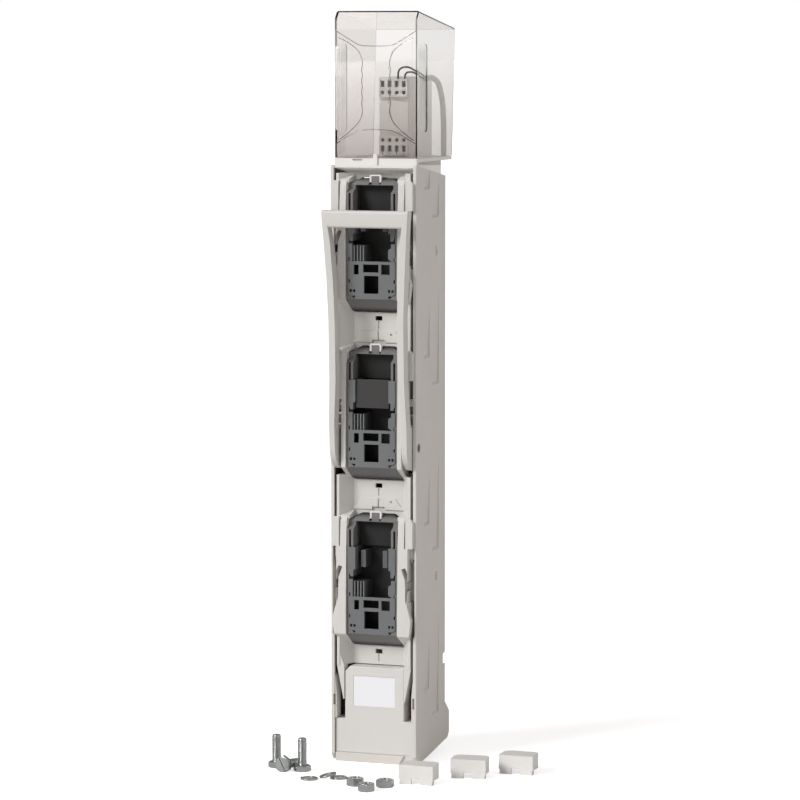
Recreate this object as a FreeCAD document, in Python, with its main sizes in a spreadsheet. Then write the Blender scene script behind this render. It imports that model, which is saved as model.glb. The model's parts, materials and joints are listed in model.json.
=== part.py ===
import FreeCAD, Part
import math
import os
import Sketcher

# Three-pole strip-type fuse switch disconnector for busbars at 185 mm centres.
# Z is up, the front faces -Y and X runs to the right.
# The origin is the middle busbar bolt hole, on the plane that meets the busbars.

dimensions = {
    # strip and casing
    "polePitch": 185,
    "casingWidth": 100,
    "casingDepth": 98,
    "topMargin": 14,
    "footMargin": 118,
    "wallThickness": 4,
    "edgeRadius": 1.2,
    "topSlope": 14,
    "rearBulge": 15,
    "bulgeHeight": 47,
    "bulgeRamp": 13,
    "heelHeight": 10,
    "heelChamfer": 6,
    "lipDrop": 8,
    "lipSetback": 7,
    "rearNotchDepth": 7,
    "rearNotchHeight": 11,
    "rearNotchRise": 44,
    "fluteDepth": 2.4,
    "frontFluteWidth": 18,
    "frontFluteSetback": 44,
    "rearFluteWidth": 23,
    "rearFluteSetback": 22,
    "frontFluteFoot": 61.5,
    "rearFluteFoot": 30,
    "frontFluteLength": 60,
    "rearFluteLength": 110,
    "latchNotchWidth": 4,
    "latchNotchHeight": 12,
    "latchNotchRise": 54,
    "sideScrewHead": 4,
    "sideScrewSink": 5.2,
    "sideScrewShank": 2,
    "sideScrewSetback": 32,
    "sideScrewTop": 178,
    "sideScrewBottom": 184,
    "screwBoss": 9,
    "baseThickness": 5.5,
    "baseFront": 12,
    "ribThickness": 2.5,
    "barrierReach": 48,
    # front carriage
    "carriageHalfWidth": 43,
    "carriageWall": 2.6,
    "carriageDepth": 36,
    "topGap": 9,
    "carriageFootRise": 61,
    "openingWidth": 60,
    "openingHeight": 145,
    "openingShift": 2.5,
    "shoulderWidth": 11,
    "shoulderHeight": 6,
    "troughDepth": 18,
    "troughFloorWidth": 58,
    "troughMouthWidth": 80,
    "floorThickness": 3,
    "cornerRadius": 3,
    "openingDrop": 2.7,
    "cheekWidth": 7.3,
    "cheekProud": 3.5,
    "hipProud": 7.5,
    "hipHalfWidth": 45.7,
    "neckHalfWidth": 42.6,
    "stripHalfWidth": 47,
    "stripInner": 38.8,
    "stripHeight": 32.5,
    "stripTopDrop": 2.8,
    "plateFootRise": 8,
    "hipTop": 50,
    "stripProud": 5,
    "visorRise": 16.5,
    "visorTopWidth": 39,
    "visorStep": 1.5,
    "catchHeadroom": 7,
    "lockWidth": 8,
    "lockHeight": 5,
    "lockDrop": 7,
    "grooveWidth": 1.6,
    "tongueHeight": 12,
    "guideHeight": 152,
    "guideRib": 3,
    "hubRoom": 7,
    "runningGap": 0.08,
    "freeGap": 0.5,
    # fuse carriers
    "insertGap": 0.5,
    "insertEndGap": 1,
    "insertProud": 4.5,
    "insertDepth": 29.5,
    "insertWall": 2.4,
    "insertBarSetback": 4,
    "insertTopRake": 18,
    "insertFootRake": 20,
    "topBarHeight": 7,
    "gridThickness": 3,
    "gridFootRise": 12,
    "gridCornerRise": 18,
    "latchSetback": 7,
    # fuse-links
    "fuseLength": 150,
    "fuseBodyWidth": 50,
    "fuseBodyHeight": 66,
    "fuseBodyDepth": 46,
    "fuseAxisSetback": 51,
    "bladeWidth": 26,
    "bladeThickness": 6,
    "endPlate": 2.5,
    # contacts
    "jawThickness": 2.5,
    "jawHeight": 28,
    "jawInset": 3,
    "contactFit": 0.05,
    "busbarHole": 11,
    "lugWidth": 30,
    "lugThickness": 6,
    "outgoingWidth": 20,
    "outgoingThickness": 5,
    "outgoingSpacing": 27,
    "terminalRise": 40,
    # handle
    "pivotDrop": 35,
    "pivotSetback": 8,
    "pitchRadius": 36,
    "toothCount": 24,
    "pressureAngle": 20,
    "meshTeeth": 7,
    "backlash": 0.3,
    "sectorThickness": 6.4,
    "hubInset": 4.4,
    "hubRadius": 25,
    "pinRadius": 5,
    "pinFit": 0.06,
    "handleRise": 225.5,
    "barHeight": 19,
    "barProud": 29,
    "barDepth": 13,
    "barRadius": 3,
    "armWidth": 7.6,
    "armDepth": 14,
    "armProud": 22,
    "armHalfWidth": 43.4,
    # clear cover and auxiliary module
    "ledgeHeight": 7,
    "coverWidth": 95,
    "coverHeight": 152,
    "coverSetback": 9,
    "coverRear": 30,
    "coverLean": 10,
    "coverRise": 8,
    "coverDrop": 10,
    "coverWall": 2,
    "coverRelief": 1.2,
    "reliefBand": 16,
    "moduleWidth": 36.5,
    "moduleHeight": 88,
    "moduleFront": 40,
    "moduleShift": 5,
    "terminalPitch": 8.2,
    "cableRadius": 3.1,
    "wireRadius": 1,
    # label panel
    "panelWidth": 69,
    "panelDrop": 98,
    "panelSetback": 2.5,
    "panelDepth": 22,
    "panelCorner": 6,
    "panelShoulder": 39,
    "labelWidth": 49,
    "labelHeight": 34,
    "labelDrop": 27.5,
    # loose fixing kit
    "boltRadius": 5,
    "boltLength": 30,
    "headAcross": 17,
    "headHeight": 6.4,
    "slotWidth": 1.2,
    "nutHeight": 8.4,
    "ringRadius": 9.5,
    "ringBore": 5.3,
    "ringThickness": 2.4,
    "capWidth": 37,
    "capHeight": 21,
    "capDepth": 27,
    "capWall": 1.8,
}

doc = FreeCAD.newDocument("FuseSwitchDisconnector")
sheet = doc.addObject("Spreadsheet::Sheet", "sizes")


class Term:
    # A size that keeps its value and the sheet expression that it comes from.

    def __init__(self, value, text):
        self.value = float(value)
        self.text = text

    def joined(self, other, sign, value):
        return Term(value, "(%s %s %s)" % (self.text, sign, term(other).text))

    def __add__(self, other):
        return self.joined(other, "+", self.value + term(other).value)

    def __sub__(self, other):
        return self.joined(other, "-", self.value - term(other).value)

    def __mul__(self, other):
        return self.joined(other, "*", self.value * term(other).value)

    def __truediv__(self, other):
        return self.joined(other, "/", self.value / term(other).value)

    def __neg__(self):
        return Term(0, "0") - self

    def __radd__(self, other):
        return term(other) + self

    def __rsub__(self, other):
        return term(other) - self

    def __rmul__(self, other):
        return term(other) * self


def term(number):
    return number if isinstance(number, Term) else Term(number, "%.12g" % number)


class Sizes:
    pass


d = Sizes()
for row, (word, number) in enumerate(dimensions.items(), start=1):
    sheet.set("A%d" % row, word)
    sheet.set("B%d" % row, "%g" % number)
    sheet.setAlias("B%d" % row, word)
    setattr(d, word, Term(number, "sizes." + word))
doc.recompute()

subParts = []

# Levels and planes that several pieces share.
front = -d.casingDepth
halfWidth = d.casingWidth / 2
inside = halfWidth - d.wallThickness
casingTop = d.polePitch + d.fuseLength / 2 + d.topMargin
casingFoot = d.polePitch + d.fuseLength / 2 + d.footMargin
bulgeTop = casingFoot - d.bulgeHeight
carriageTop = casingTop - d.topGap
carriageFoot = casingFoot - d.carriageFootRise
panelTop = casingFoot - d.panelDrop
terminalLevel = -casingFoot + d.terminalRise
floorLevel = front + d.troughDepth
baseFace = -d.baseFront
riserRear = baseFace - d.lugThickness
insertHalf = d.openingWidth / 2 - d.insertGap
insertTall = d.openingHeight / 2 - d.insertEndGap
fuseAxis = front + d.fuseAxisSetback
pivotY = front + d.pivotSetback
pivotZ = -d.pivotDrop
hubInner = d.carriageHalfWidth - d.hubInset
hubOuter = hubInner + d.sectorThickness
rackTop = pivotZ + d.pitchRadius + 10
travel = d.pitchRadius * (math.pi / 2)
coverFoot = casingTop + d.ledgeHeight
coverTop = coverFoot + d.coverHeight
ground = -casingFoot - d.lipDrop - 1
poles = [("1", d.polePitch * 1), ("2", d.polePitch * 0), ("3", d.polePitch * -1)]
outgoingShifts = [-d.outgoingSpacing, d.outgoingSpacing, term(0)]
axisX = FreeCAD.Vector(1, 0, 0)
axisY = FreeCAD.Vector(0, 1, 0)
axisZ = FreeCAD.Vector(0, 0, 1)


def openingSpan(centre):
    # Lower and upper level of a pole's opening in the carriage.
    middle = centre + d.openingShift
    return middle - d.openingHeight / 2, middle + d.openingHeight / 2


def bind(thing, field, size):
    thing.setExpression(field, term(size).text)


def newBody(label):
    body = doc.addObject("PartDesign::Body", label)
    body.Label = label
    body.AllowCompound = True
    subParts.append(body)
    return body


planeRoles = {"X": "YZ_Plane", "Y": "XZ_Plane", "Z": "XY_Plane"}


def newSketch(body, along, level):
    # A sketch square to an axis, at a level on that axis.
    sketch = body.newObject("Sketcher::SketchObject", body.Label + "Sketch")
    plane = [f for f in body.Origin.OriginFeatures if f.Role == planeRoles[along]][0]
    sketch.AttachmentSupport = (plane, [""])
    sketch.MapMode = "FlatFace"
    bind(sketch, ".AttachmentOffset.Base.z", -term(level) if along == "Y" else level)
    return sketch


def place(sketch, geometry, point, x, y):
    # Hold one point of a sketch at sizes measured from its origin.
    for kind, size in (("DistanceX", term(x)), ("DistanceY", term(y))):
        index = sketch.addConstraint(Sketcher.Constraint(kind, -1, 1, geometry, point, size.value))
        bind(sketch, "Constraints[%d]" % index, size)


def spot(x, y):
    return FreeCAD.Vector(term(x).value, term(y).value, 0)


def holdRadius(sketch, curve, radius):
    index = sketch.addConstraint(Sketcher.Constraint("Radius", curve, term(radius).value))
    bind(sketch, "Constraints[%d]" % index, radius)


def arcBetween(start, end, radius):
    # The short arc that runs anticlockwise from one spot to another.
    chord = end - start
    inward = FreeCAD.Vector(-chord.y, chord.x, 0).normalize()
    centre = (start + end) / 2 + inward * math.sqrt(radius ** 2 - chord.Length ** 2 / 4)
    turns = [math.atan2((at - centre).y, (at - centre).x) for at in (start, end)]
    if turns[1] < turns[0]:
        turns[1] += math.pi * 2
    return Part.ArcOfCircle(Part.Circle(centre, axisZ, radius), turns[0], turns[1])


def polygon(sketch, corners):
    # A corner with a third size starts an arc of that radius instead of a straight side.
    count = len(corners)
    first = sketch.GeometryCount
    spots = [spot(corner[0], corner[1]) for corner in corners]
    for index, corner in enumerate(corners):
        ends = (spots[index], spots[(index + 1) % count])
        if len(corner) == 3:
            sketch.addGeometry(arcBetween(ends[0], ends[1], term(corner[2]).value))
        else:
            sketch.addGeometry(Part.LineSegment(*ends))
    for index in range(count):
        following = first + (index + 1) % count
        sketch.addConstraint(Sketcher.Constraint("Coincident", first + index, 2, following, 1))
    for index, corner in enumerate(corners):
        place(sketch, first + index, 1, corner[0], corner[1])
        if len(corner) == 3:
            holdRadius(sketch, first + index, corner[2])


def ring(sketch, x, y, radius):
    circle = sketch.addGeometry(Part.Circle(spot(x, y), axisZ, term(radius).value))
    place(sketch, circle, 3, x, y)
    holdRadius(sketch, circle, radius)


def softRectangle(sketch, x0, x1, y0, y1, radius):
    # Four straight sides joined by quarter circles.
    left, right, low, high = (term(size) for size in (x0, x1, y0, y1))
    sides = [((left + radius, low), (right - radius, low)), ((right, low + radius), (right, high - radius)),
             ((right - radius, high), (left + radius, high)), ((left, high - radius), (left, low + radius))]
    centres = [(right - radius, low + radius), (right - radius, high - radius),
               (left + radius, high - radius), (left + radius, low + radius)]
    lines = [sketch.addGeometry(Part.LineSegment(spot(*start), spot(*end))) for start, end in sides]
    for index, centre in enumerate(centres):
        turn = math.pi / 2 * (index - 1)
        circle = Part.Circle(spot(*centre), axisZ, term(radius).value)
        arc = sketch.addGeometry(Part.ArcOfCircle(circle, turn, turn + math.pi / 2))
        following = lines[(index + 1) % 4]
        sketch.addConstraint(Sketcher.Constraint("Coincident", lines[index], 2, arc, 1))
        sketch.addConstraint(Sketcher.Constraint("Coincident", arc, 2, following, 1))
        holdRadius(sketch, arc, radius)
    for line, (start, end) in zip(lines, sides):
        place(sketch, line, 1, *start)
        place(sketch, line, 2, *end)


def rectangle(x0, x1, y0, y1):
    return [(x0, y0), (x1, y0), (x1, y1), (x0, y1)]


def mirrored(shape):
    # The same outline, circle or soft rectangle on the other side of the axis.
    if isinstance(shape, list):
        return [(-term(x), y) for x, y in shape]
    if len(shape) == 3:
        return (-term(shape[0]), shape[1], shape[2])
    x0, x1, y0, y1, radius = shape
    return (-term(x1), -term(x0), y0, y1, radius)


def bothSides(shapes):
    return shapes + [mirrored(shape) for shape in shapes]


def draw(sketch, shapes):
    # A list is an outline, three sizes are a circle, five are a soft rectangle.
    for shape in shapes:
        if isinstance(shape, list):
            polygon(sketch, shape)
        elif len(shape) == 3:
            ring(sketch, *shape)
        else:
            softRectangle(sketch, *shape)


def pad(body, along, low, high, shapes):
    # Add material between two levels of an axis.
    sketch = newSketch(body, along, high if along == "Y" else low)
    draw(sketch, shapes)
    feature = body.newObject("PartDesign::Pad", body.Label + "Pad")
    feature.Profile = sketch
    bind(feature, "Length", term(high) - low)
    doc.recompute()
    return feature


def pocket(body, along, low, high, shapes):
    # Take material away between two levels of an axis.
    before = body.Shape.Volume
    sketch = newSketch(body, along, low if along == "Y" else high)
    draw(sketch, shapes)
    feature = body.newObject("PartDesign::Pocket", body.Label + "Pocket")
    feature.Profile = sketch
    bind(feature, "Length", term(high) - low)
    doc.recompute()
    if body.Shape.Volume > before - 0.01:
        raise ValueError("a pocket of %s cuts nothing" % body.Label)
    return feature


def runsAlong(edge, axis):
    run = edge.Vertexes[-1].Point - edge.Vertexes[0].Point
    return run.Length > 0.1 and abs(run.dot(axis)) > run.Length * 0.999


def dress(body, kind, size, wanted):
    # Round or chamfer the straight edges that pass a test.
    base = body.Tip
    names = []
    for index, edge in enumerate(base.Shape.Edges, start=1):
        if len(edge.Vertexes) == 2 and wanted(edge):
            names.append("Edge%d" % index)
    feature = body.newObject("PartDesign::" + kind, body.Label + kind)
    feature.Base = (base, names)
    bind(feature, "Radius" if kind == "Fillet" else "Size", size)
    doc.recompute()
    if "Invalid" in feature.State:
        raise ValueError("a %s of %s fails" % (kind, body.Label))
    return feature


def near(value, size):
    return abs(value - term(size).value) < 0.01


def sideWall(label, side):
    # A moulded side wall with its rear foot, guide ribs, flutes, screw holes and pin hole.
    body = newBody(label)
    inner, outer = (inside, halfWidth) if side > 0 else (-halfWidth, -inside)
    lip = -casingFoot - d.lipDrop
    notch = -bulgeTop + d.rearNotchRise
    outline = [
        (front, -casingFoot),
        (front + d.lipSetback, lip),
        (front + 40, lip + 3),
        (d.rearBulge - d.heelChamfer, -casingFoot + d.heelHeight - d.heelChamfer),
        (d.rearBulge, -casingFoot + d.heelHeight),
        (d.rearBulge, -bulgeTop - d.bulgeRamp),
        (0, -bulgeTop),
        (0, notch - 1),
        (-d.rearNotchDepth, notch),
        (-d.rearNotchDepth, notch + d.rearNotchHeight),
        (0, notch + d.rearNotchHeight + 1),
        (0, casingTop - d.topSlope),
        (front, casingTop),
    ]
    pad(body, "X", inner, outer, [outline])
    rim = halfWidth.value * side
    dress(body, "Fillet", d.edgeRadius, lambda edge: runsAlong(edge, axisZ) and near(edge.CenterOfMass.x, rim)
          and near(edge.CenterOfMass.y, front))
    ribs = []
    for height in (d.guideHeight, -d.guideHeight):
        start = height + d.tongueHeight / 2 + d.runningGap
        ribs.append(rectangle(front + 2, baseFace, start, start + d.guideRib))
        start = height - d.tongueHeight / 2 - d.runningGap
        ribs.append(rectangle(front + 2, baseFace, start - d.guideRib, start))
    ribInner = d.carriageHalfWidth + d.runningGap
    ribSpan = (ribInner, inside) if side > 0 else (-inside, -ribInner)
    pad(body, "X", ribSpan[0], ribSpan[1], ribs)
    flutes(body, side)
    spots = [(-d.sideScrewSetback, d.sideScrewTop), (-d.sideScrewSetback, -d.sideScrewBottom)]
    sinks = [(y, z, d.sideScrewSink) for y, z in spots]
    sinkSpan = (outer - 1.4, outer) if side > 0 else (inner, inner + 1.4)
    pocket(body, "X", sinkSpan[0], sinkSpan[1], sinks)
    pocket(body, "X", inner, outer, [(y, z, d.sideScrewHead) for y, z in spots] + [(pivotY, pivotZ, d.pinRadius)])
    low, high = openingSpan(poles[-1][1])
    rebate = rectangle(inside - 1, inside + 1.7, low + 11, high - d.stripTopDrop - d.stripHeight)
    pocket(body, "Y", front, front + 30, [rebate if side > 0 else mirrored(rebate)])
    latch = -casingFoot + d.latchNotchRise
    gap = rectangle(inside - 1, inside + 1.5, latch, latch + d.latchNotchHeight)
    pocket(body, "Y", front, front + 6, [gap if side > 0 else mirrored(gap)])
    return body


def flutes(body, side):
    # Long shallow flutes in the outer face, deepest at their lower ends.
    rows = ((front + d.frontFluteSetback - d.frontFluteWidth, d.frontFluteWidth, d.frontFluteFoot, d.frontFluteLength),
            (-d.rearFluteSetback - d.rearFluteWidth, d.rearFluteWidth, d.rearFluteFoot, d.rearFluteLength))
    for start, width, foot, length in rows:
        shapes = []
        for step in (1, 0, -1, -2):
            tip = foot + d.polePitch * step
            top = tip + length if step < 1 else tip + length * 0.4
            deep = halfWidth - d.fluteDepth
            wedge = [(halfWidth, tip), (halfWidth, top), (deep, tip + 3)]
            shapes.append(wedge if side > 0 else mirrored(wedge))
        pocket(body, "Y", start, start + width, shapes)
    drains = [(front + d.frontFluteSetback - d.frontFluteWidth / 2 - 3, d.frontFluteFoot - d.polePitch * 2 - 3, 1.2),
              (-d.rearFluteSetback - d.rearFluteWidth / 2, d.rearFluteFoot - d.polePitch * 2 - 4, 1.2)]
    depth = (halfWidth - d.fluteDepth, halfWidth) if side > 0 else (-halfWidth, -halfWidth + d.fluteDepth)
    pocket(body, "X", depth[0], depth[1], drains)


def baseMoulding():
    # The insulating rear wall between the side walls, with barriers between the poles.
    body = newBody("base_moulding")
    rear = baseFace + d.baseThickness
    pad(body, "Y", baseFace, rear, [rectangle(-inside, inside, -bulgeTop, casingTop - d.topSlope - 8)])
    barrier = d.ribThickness / 2
    barrierHalf = inside - 8
    levels = (d.polePitch / 2, -d.polePitch / 2)
    pad(body, "Y", baseFace - d.barrierReach, baseFace,
        [rectangle(-barrierHalf, barrierHalf, level - barrier, level + barrier) for level in levels])
    bosses = []
    for level in (d.sideScrewTop, -d.sideScrewBottom):
        bosses.append(rectangle(inside - d.screwBoss, inside, level - 7, level + 7))
    pad(body, "Y", -d.sideScrewSetback - 7, baseFace, bothSides(bosses))
    screws = [(-d.sideScrewSetback, level, d.sideScrewShank) for level in (d.sideScrewTop, -d.sideScrewBottom)]
    for low, high in ((inside - d.screwBoss, inside), (-inside, -inside + d.screwBoss)):
        pocket(body, "X", low, high, screws)
    windowHalf = d.lugWidth / 2 + d.freeGap
    pocket(body, "Y", baseFace, rear,
           [rectangle(-windowHalf, windowHalf, centre - 16, centre + 19) for name, centre in poles])
    edge = d.outgoingSpacing + d.outgoingWidth / 2 + d.freeGap
    gate = rectangle(edge - d.outgoingWidth - d.freeGap * 2, edge,
                     baseFace - d.outgoingThickness - d.freeGap, baseFace)
    pocket(body, "Z", -d.polePitch / 2 - barrier, d.polePitch / 2 + barrier, bothSides([gate]))
    return body


def sideScrews():
    # Cross-slotted screws through both side walls into the bosses of the base.
    body = newBody("side_wall_screws")
    spots = [(-d.sideScrewSetback, d.sideScrewTop), (-d.sideScrewSetback, -d.sideScrewBottom)]
    heads = [(y, z, d.sideScrewHead) for y, z in spots]
    shanks = [(y, z, d.sideScrewShank) for y, z in spots]
    slots = []
    for y, z in spots:
        slots.append(rectangle(y - 2.4, y + 2.4, z - 0.5, z + 0.5))
    face = halfWidth - 0.8
    pad(body, "X", inside, face, heads)
    pad(body, "X", inside - d.screwBoss, inside, shanks)
    pad(body, "X", -face, -inside, heads)
    pad(body, "X", -inside, -inside + d.screwBoss, shanks)
    pocket(body, "X", face - 0.9, face, slots)
    pocket(body, "X", -face, -face + 0.9, slots)
    return body


def topEndPiece():
    # The sloped top wall and the pale ledge that carries the terminal compartment.
    body = newBody("top_end_piece")
    fall = d.topSlope / d.casingDepth
    thick = 3
    top = [(front + 1, casingTop - fall), (0, casingTop - d.topSlope),
           (0, casingTop - d.topSlope - thick), (front + 1, casingTop - fall - thick)]
    pad(body, "X", -inside, inside, [top])
    ledgeFront = front + 8
    skirt = 6
    plate = coverFoot - 4
    rear = d.coverRear - 2
    ledge = [(ledgeFront, coverFoot), (ledgeFront, casingTop - fall * 8),
             (ledgeFront + skirt, casingTop - fall * (8 + skirt)), (ledgeFront + skirt, plate),
             (-12, plate), (-12, casingTop - fall * (d.casingDepth - 12)),
             (-8, casingTop - fall * (d.casingDepth - 8)), (-8, plate), (rear, plate), (rear, coverFoot)]
    pad(body, "X", -d.coverWidth / 2, d.coverWidth / 2, [ledge])
    slot = (-27, -16, coverFoot - 2.4, coverFoot - 0.8, 0.6)
    pocket(body, "Y", ledgeFront, ledgeFront + 3, [slot])
    return body


def bottomEndCover():
    # The sloped floor of the terminal space, its front lip and the cable exit.
    body = newBody("bottom_end_cover")
    foot = -casingFoot
    profile = [(front + 3, foot + 1), (front + 3, foot - d.lipDrop - 1),
               (front + 40, foot - d.lipDrop + 3.2), (d.rearBulge - 6, foot + 4),
               (d.rearBulge - 6, foot + 8), (front + 40, foot - 1.5), (front + 7, foot - 4),
               (front + 7, foot + 1)]
    pad(body, "X", -inside, inside, [profile])
    lip = [(-inside + 1, foot + 1), (-inside + 1, foot - d.lipDrop - 1), (29, foot - d.lipDrop - 1), (35, foot + 1)]
    pad(body, "Y", front + 1, front + 3, [lip])
    pocket(body, "Z", foot - 12, foot + 8, [(-34, 34, -44, -2, 6)])
    return body


def terminalFrame():
    # Two posts inside the side walls that guide the tips of the carriage legs.
    body = newBody("terminal_frame")
    guide = d.carriageHalfWidth + 0.8
    low = -casingFoot + d.panelShoulder + 0.4
    high = -carriageFoot + 6
    post = [(guide, low), (inside, low), (inside, high + 22), (guide + 0.8, high + 10), (guide, high)]
    pad(body, "Y", front + 1, front + 14, bothSides([post]))
    latch = -casingFoot + d.latchNotchRise
    pocket(body, "Y", front + 1, front + 6, bothSides([rectangle(inside - 1, inside, latch, latch + d.latchNotchHeight)]))
    return body


def panelOutline(margin):
    # The front of the terminal cover: a wide foot and a narrower panel with one cut corner.
    half = d.panelWidth / 2 - margin
    foot = -casingFoot + 1 + margin
    shoulder = -casingFoot + d.panelShoulder - margin
    wide = inside - 0.3 - margin
    top = -panelTop - margin
    cut = d.panelCorner
    return [(-wide, foot), (wide, foot), (wide, shoulder), (half, shoulder), (half, top), (-half + cut, top),
            (-half, top - cut), (-half, shoulder), (-wide, shoulder)]


def labelPanel():
    # The cover of the cable terminals, a shallow tray with a recess for the card.
    body = newBody("label_panel")
    face = front + d.panelSetback
    wall = 2.5
    pad(body, "Y", face, face + d.panelDepth, [panelOutline(term(0))])
    dress(body, "Fillet", 1, lambda edge: near(edge.CenterOfMass.y, face) and edge.Length > 20)
    pocket(body, "Y", face + wall, face + d.panelDepth, [panelOutline(term(wall))])
    middle = -panelTop - d.labelDrop
    card = (-d.labelWidth / 2, d.labelWidth / 2, middle - d.labelHeight / 2, middle + d.labelHeight / 2, 1)
    pocket(body, "Y", face, face + 0.6, [card])
    return body


def labelCard():
    # A blank card in the recess of the panel.
    body = newBody("label_card")
    face = front + d.panelSetback
    middle = -panelTop - d.labelDrop
    half = d.labelWidth / 2 - 0.2
    tall = d.labelHeight / 2 - 0.2
    pad(body, "Y", face + 0.2, face + 0.6, [(-half, half, middle - tall, middle + tall, 1)])
    return body


def busbarContact(name, centre):
    # The copper lug that bolts to the busbar, with its riser to the upper jaw.
    body = newBody("busbar_contact_" + name)
    half = d.lugWidth / 2
    upper = centre + d.fuseLength / 2 - d.jawInset
    pad(body, "Y", -d.lugThickness, 0, [(-half, half, centre - 15, centre + 18, 3)])
    pad(body, "Y", riserRear, 0, [rectangle(-half, half, centre + 12, centre + 18)])
    pad(body, "Y", riserRear, baseFace, [rectangle(-half + 3, half - 3, centre + 12, upper)])
    pocket(body, "Y", -d.lugThickness, 0, [(0, centre, d.busbarHole / 2)])
    return body


def jaw(label, centre, way):
    # Two springy copper leaves with flared tips on a foot; the fuse blade slides between them.
    body = newBody(label)
    inner = d.bladeThickness / 2 + d.contactFit
    outer = inner + d.jawThickness
    mouth = fuseAxis - d.bladeWidth / 2 - 4
    edge = centre + (d.fuseLength / 2 - d.jawInset) * way
    other = edge - d.jawHeight * way
    low, high = (other, edge) if way > 0 else (edge, other)
    leaf = [(inner, mouth + 5), (inner + 2.2, mouth), (outer + 2.2, mouth), (outer, mouth + 5),
            (outer, riserRear), (inner, riserRear)]
    pad(body, "Z", low, high, [rectangle(-outer - 6, outer + 6, riserRear - 3, riserRear)])
    pad(body, "Z", low, high, bothSides([leaf]))
    return body


def jawSprings():
    # A steel clip round each jaw that presses its leaves together.
    body = newBody("jaw_springs")
    inner = d.bladeThickness / 2 + d.contactFit + d.jawThickness
    foot = riserRear - 4
    tip = fuseAxis - d.bladeWidth / 2 + 2
    clip = [(inner, foot), (inner + 5, foot), (inner + 5, foot - 1.2), (inner + 1.2, foot - 1.2),
            (inner + 1.2, tip), (inner, tip)]
    for name, centre in poles:
        for way in (1, -1):
            level = centre + (d.fuseLength / 2 - d.jawInset - d.jawHeight / 2) * way
            pad(body, "Z", level - 5, level + 5, bothSides([clip]))
    return body


def outgoingBar(name, centre, shift):
    # The copper bar from a lower jaw down to its cable terminal.
    body = newBody("outgoing_bar_" + name)
    half = d.outgoingWidth / 2
    head = 12
    edge = centre - d.fuseLength / 2 + d.jawInset
    foot = terminalLevel - 14
    pad(body, "Y", riserRear, baseFace, [rectangle(-head, head, edge, edge + d.jawHeight)])
    elbow = edge - 17
    if not shift.value:
        run = rectangle(-half, half, foot, edge)
    else:
        way = 1 if shift.value > 0 else -1
        inner = shift - half * way
        outer = shift + half * way
        run = [(-head * way, edge), (-head * way, elbow), (inner, elbow), (inner, foot), (outer, foot), (outer, edge)]
    rear = baseFace
    pad(body, "Y", rear - d.outgoingThickness, rear, [run])
    pocket(body, "Y", rear - d.outgoingThickness, rear, [(shift, terminalLevel, d.boltRadius + 0.6)])
    return body


def hexagon(x, y, across, turn=30):
    # A hexagon by its width across flats.
    corner = across / math.sqrt(3)
    points = []
    for index in range(6):
        angle = math.radians(60 * index + turn)
        points.append((term(x) + corner * math.cos(angle), term(y) + corner * math.sin(angle)))
    return points


def terminalBolts():
    # Hexagon bolts on the outgoing terminals.
    body = newBody("terminal_bolts")
    start = baseFace - d.outgoingThickness
    pad(body, "Y", start - d.headHeight, start,
        [hexagon(shift, terminalLevel, d.headAcross) for shift in outgoingShifts])
    pad(body, "Y", start, baseFace, [(shift, terminalLevel, d.boltRadius) for shift in outgoingShifts])
    return body


def openingOutline(margin, middle):
    # The opening of a pole: round corners below, low shoulders above.
    side = d.openingWidth / 2 - margin
    low = middle - d.openingHeight / 2 - d.openingDrop + margin * 2
    high = middle + d.openingHeight / 2 - margin * 2
    soft = d.cornerRadius
    return [(-side, low + soft, soft), (-side + soft / 2, low), (side - soft / 2, low, soft),
            (side, low + soft), (side, high - d.shoulderHeight), (side - d.shoulderWidth, high),
            (-side + d.shoulderWidth, high), (-side, high - d.shoulderHeight)]


def poleFrame(centre):
    # Outlines round one opening: the plate behind it, its cheek and hip, the crescent and the strip.
    low, high = openingSpan(centre)
    side = d.openingWidth / 2
    cheekEdge = side + d.cheekWidth
    stripTop = high - d.stripTopDrop
    stripFoot = stripTop - d.stripHeight
    neck = d.neckHalfWidth
    beyond = d.stripHalfWidth + 1
    foot = low + d.plateFootRise
    waist = low + d.hipTop
    plate = rectangle(d.troughFloorWidth / 2, d.carriageHalfWidth, foot, high - 2)
    belly = [(front, high - 2), (front, foot), (front - d.hipProud, foot + 4.4), (front - d.hipProud, low + 32),
             (front - (d.cheekProud + d.hipProud) / 2, stripFoot), (front - d.cheekProud, high - 7)]
    trim = [(beyond, low), (beyond, high + 1), (cheekEdge, high + 1), (cheekEdge, stripFoot), (neck, stripFoot),
            (neck, low + 64), (neck - 1.4, waist - 1), (neck - 1.4, waist - 4), (d.hipHalfWidth, low + 30),
            (d.hipHalfWidth - 1.2, low + 18), (neck, foot), (neck - 1, low)]
    crescent = [(side + 4.5, low + 87), (side + 6.5, low + 81), (side + 8.6, low + 75.5), (side + 9.4, low + 52),
                (side + 10.3, low + 48), (side + 11, low + 51), (side + 11.6, low + 66.5), (side + 11.3, low + 83),
                (side + 9, low + 88.5)]
    strip = [(d.stripInner, stripFoot), (d.stripHalfWidth, stripFoot), (d.stripHalfWidth, stripTop - 3),
             (d.stripHalfWidth - 2.5, stripTop), (d.stripInner, stripTop)]
    root = rectangle(d.stripInner, d.carriageHalfWidth, stripFoot, stripTop)
    notch = rectangle(neck - 1.1, d.carriageHalfWidth + 1, waist, stripFoot)
    sill = low - d.openingDrop
    slopes = [(floorLevel + 1, sill), (floorLevel, sill), (front, foot), (front, high - 2), (floorLevel, high + 3),
              (floorLevel + 1, high + 3)]
    return {"plate": plate, "belly": belly, "trim": trim, "crescent": crescent, "strip": strip, "root": root,
            "notch": notch, "slopes": slopes}


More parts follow.
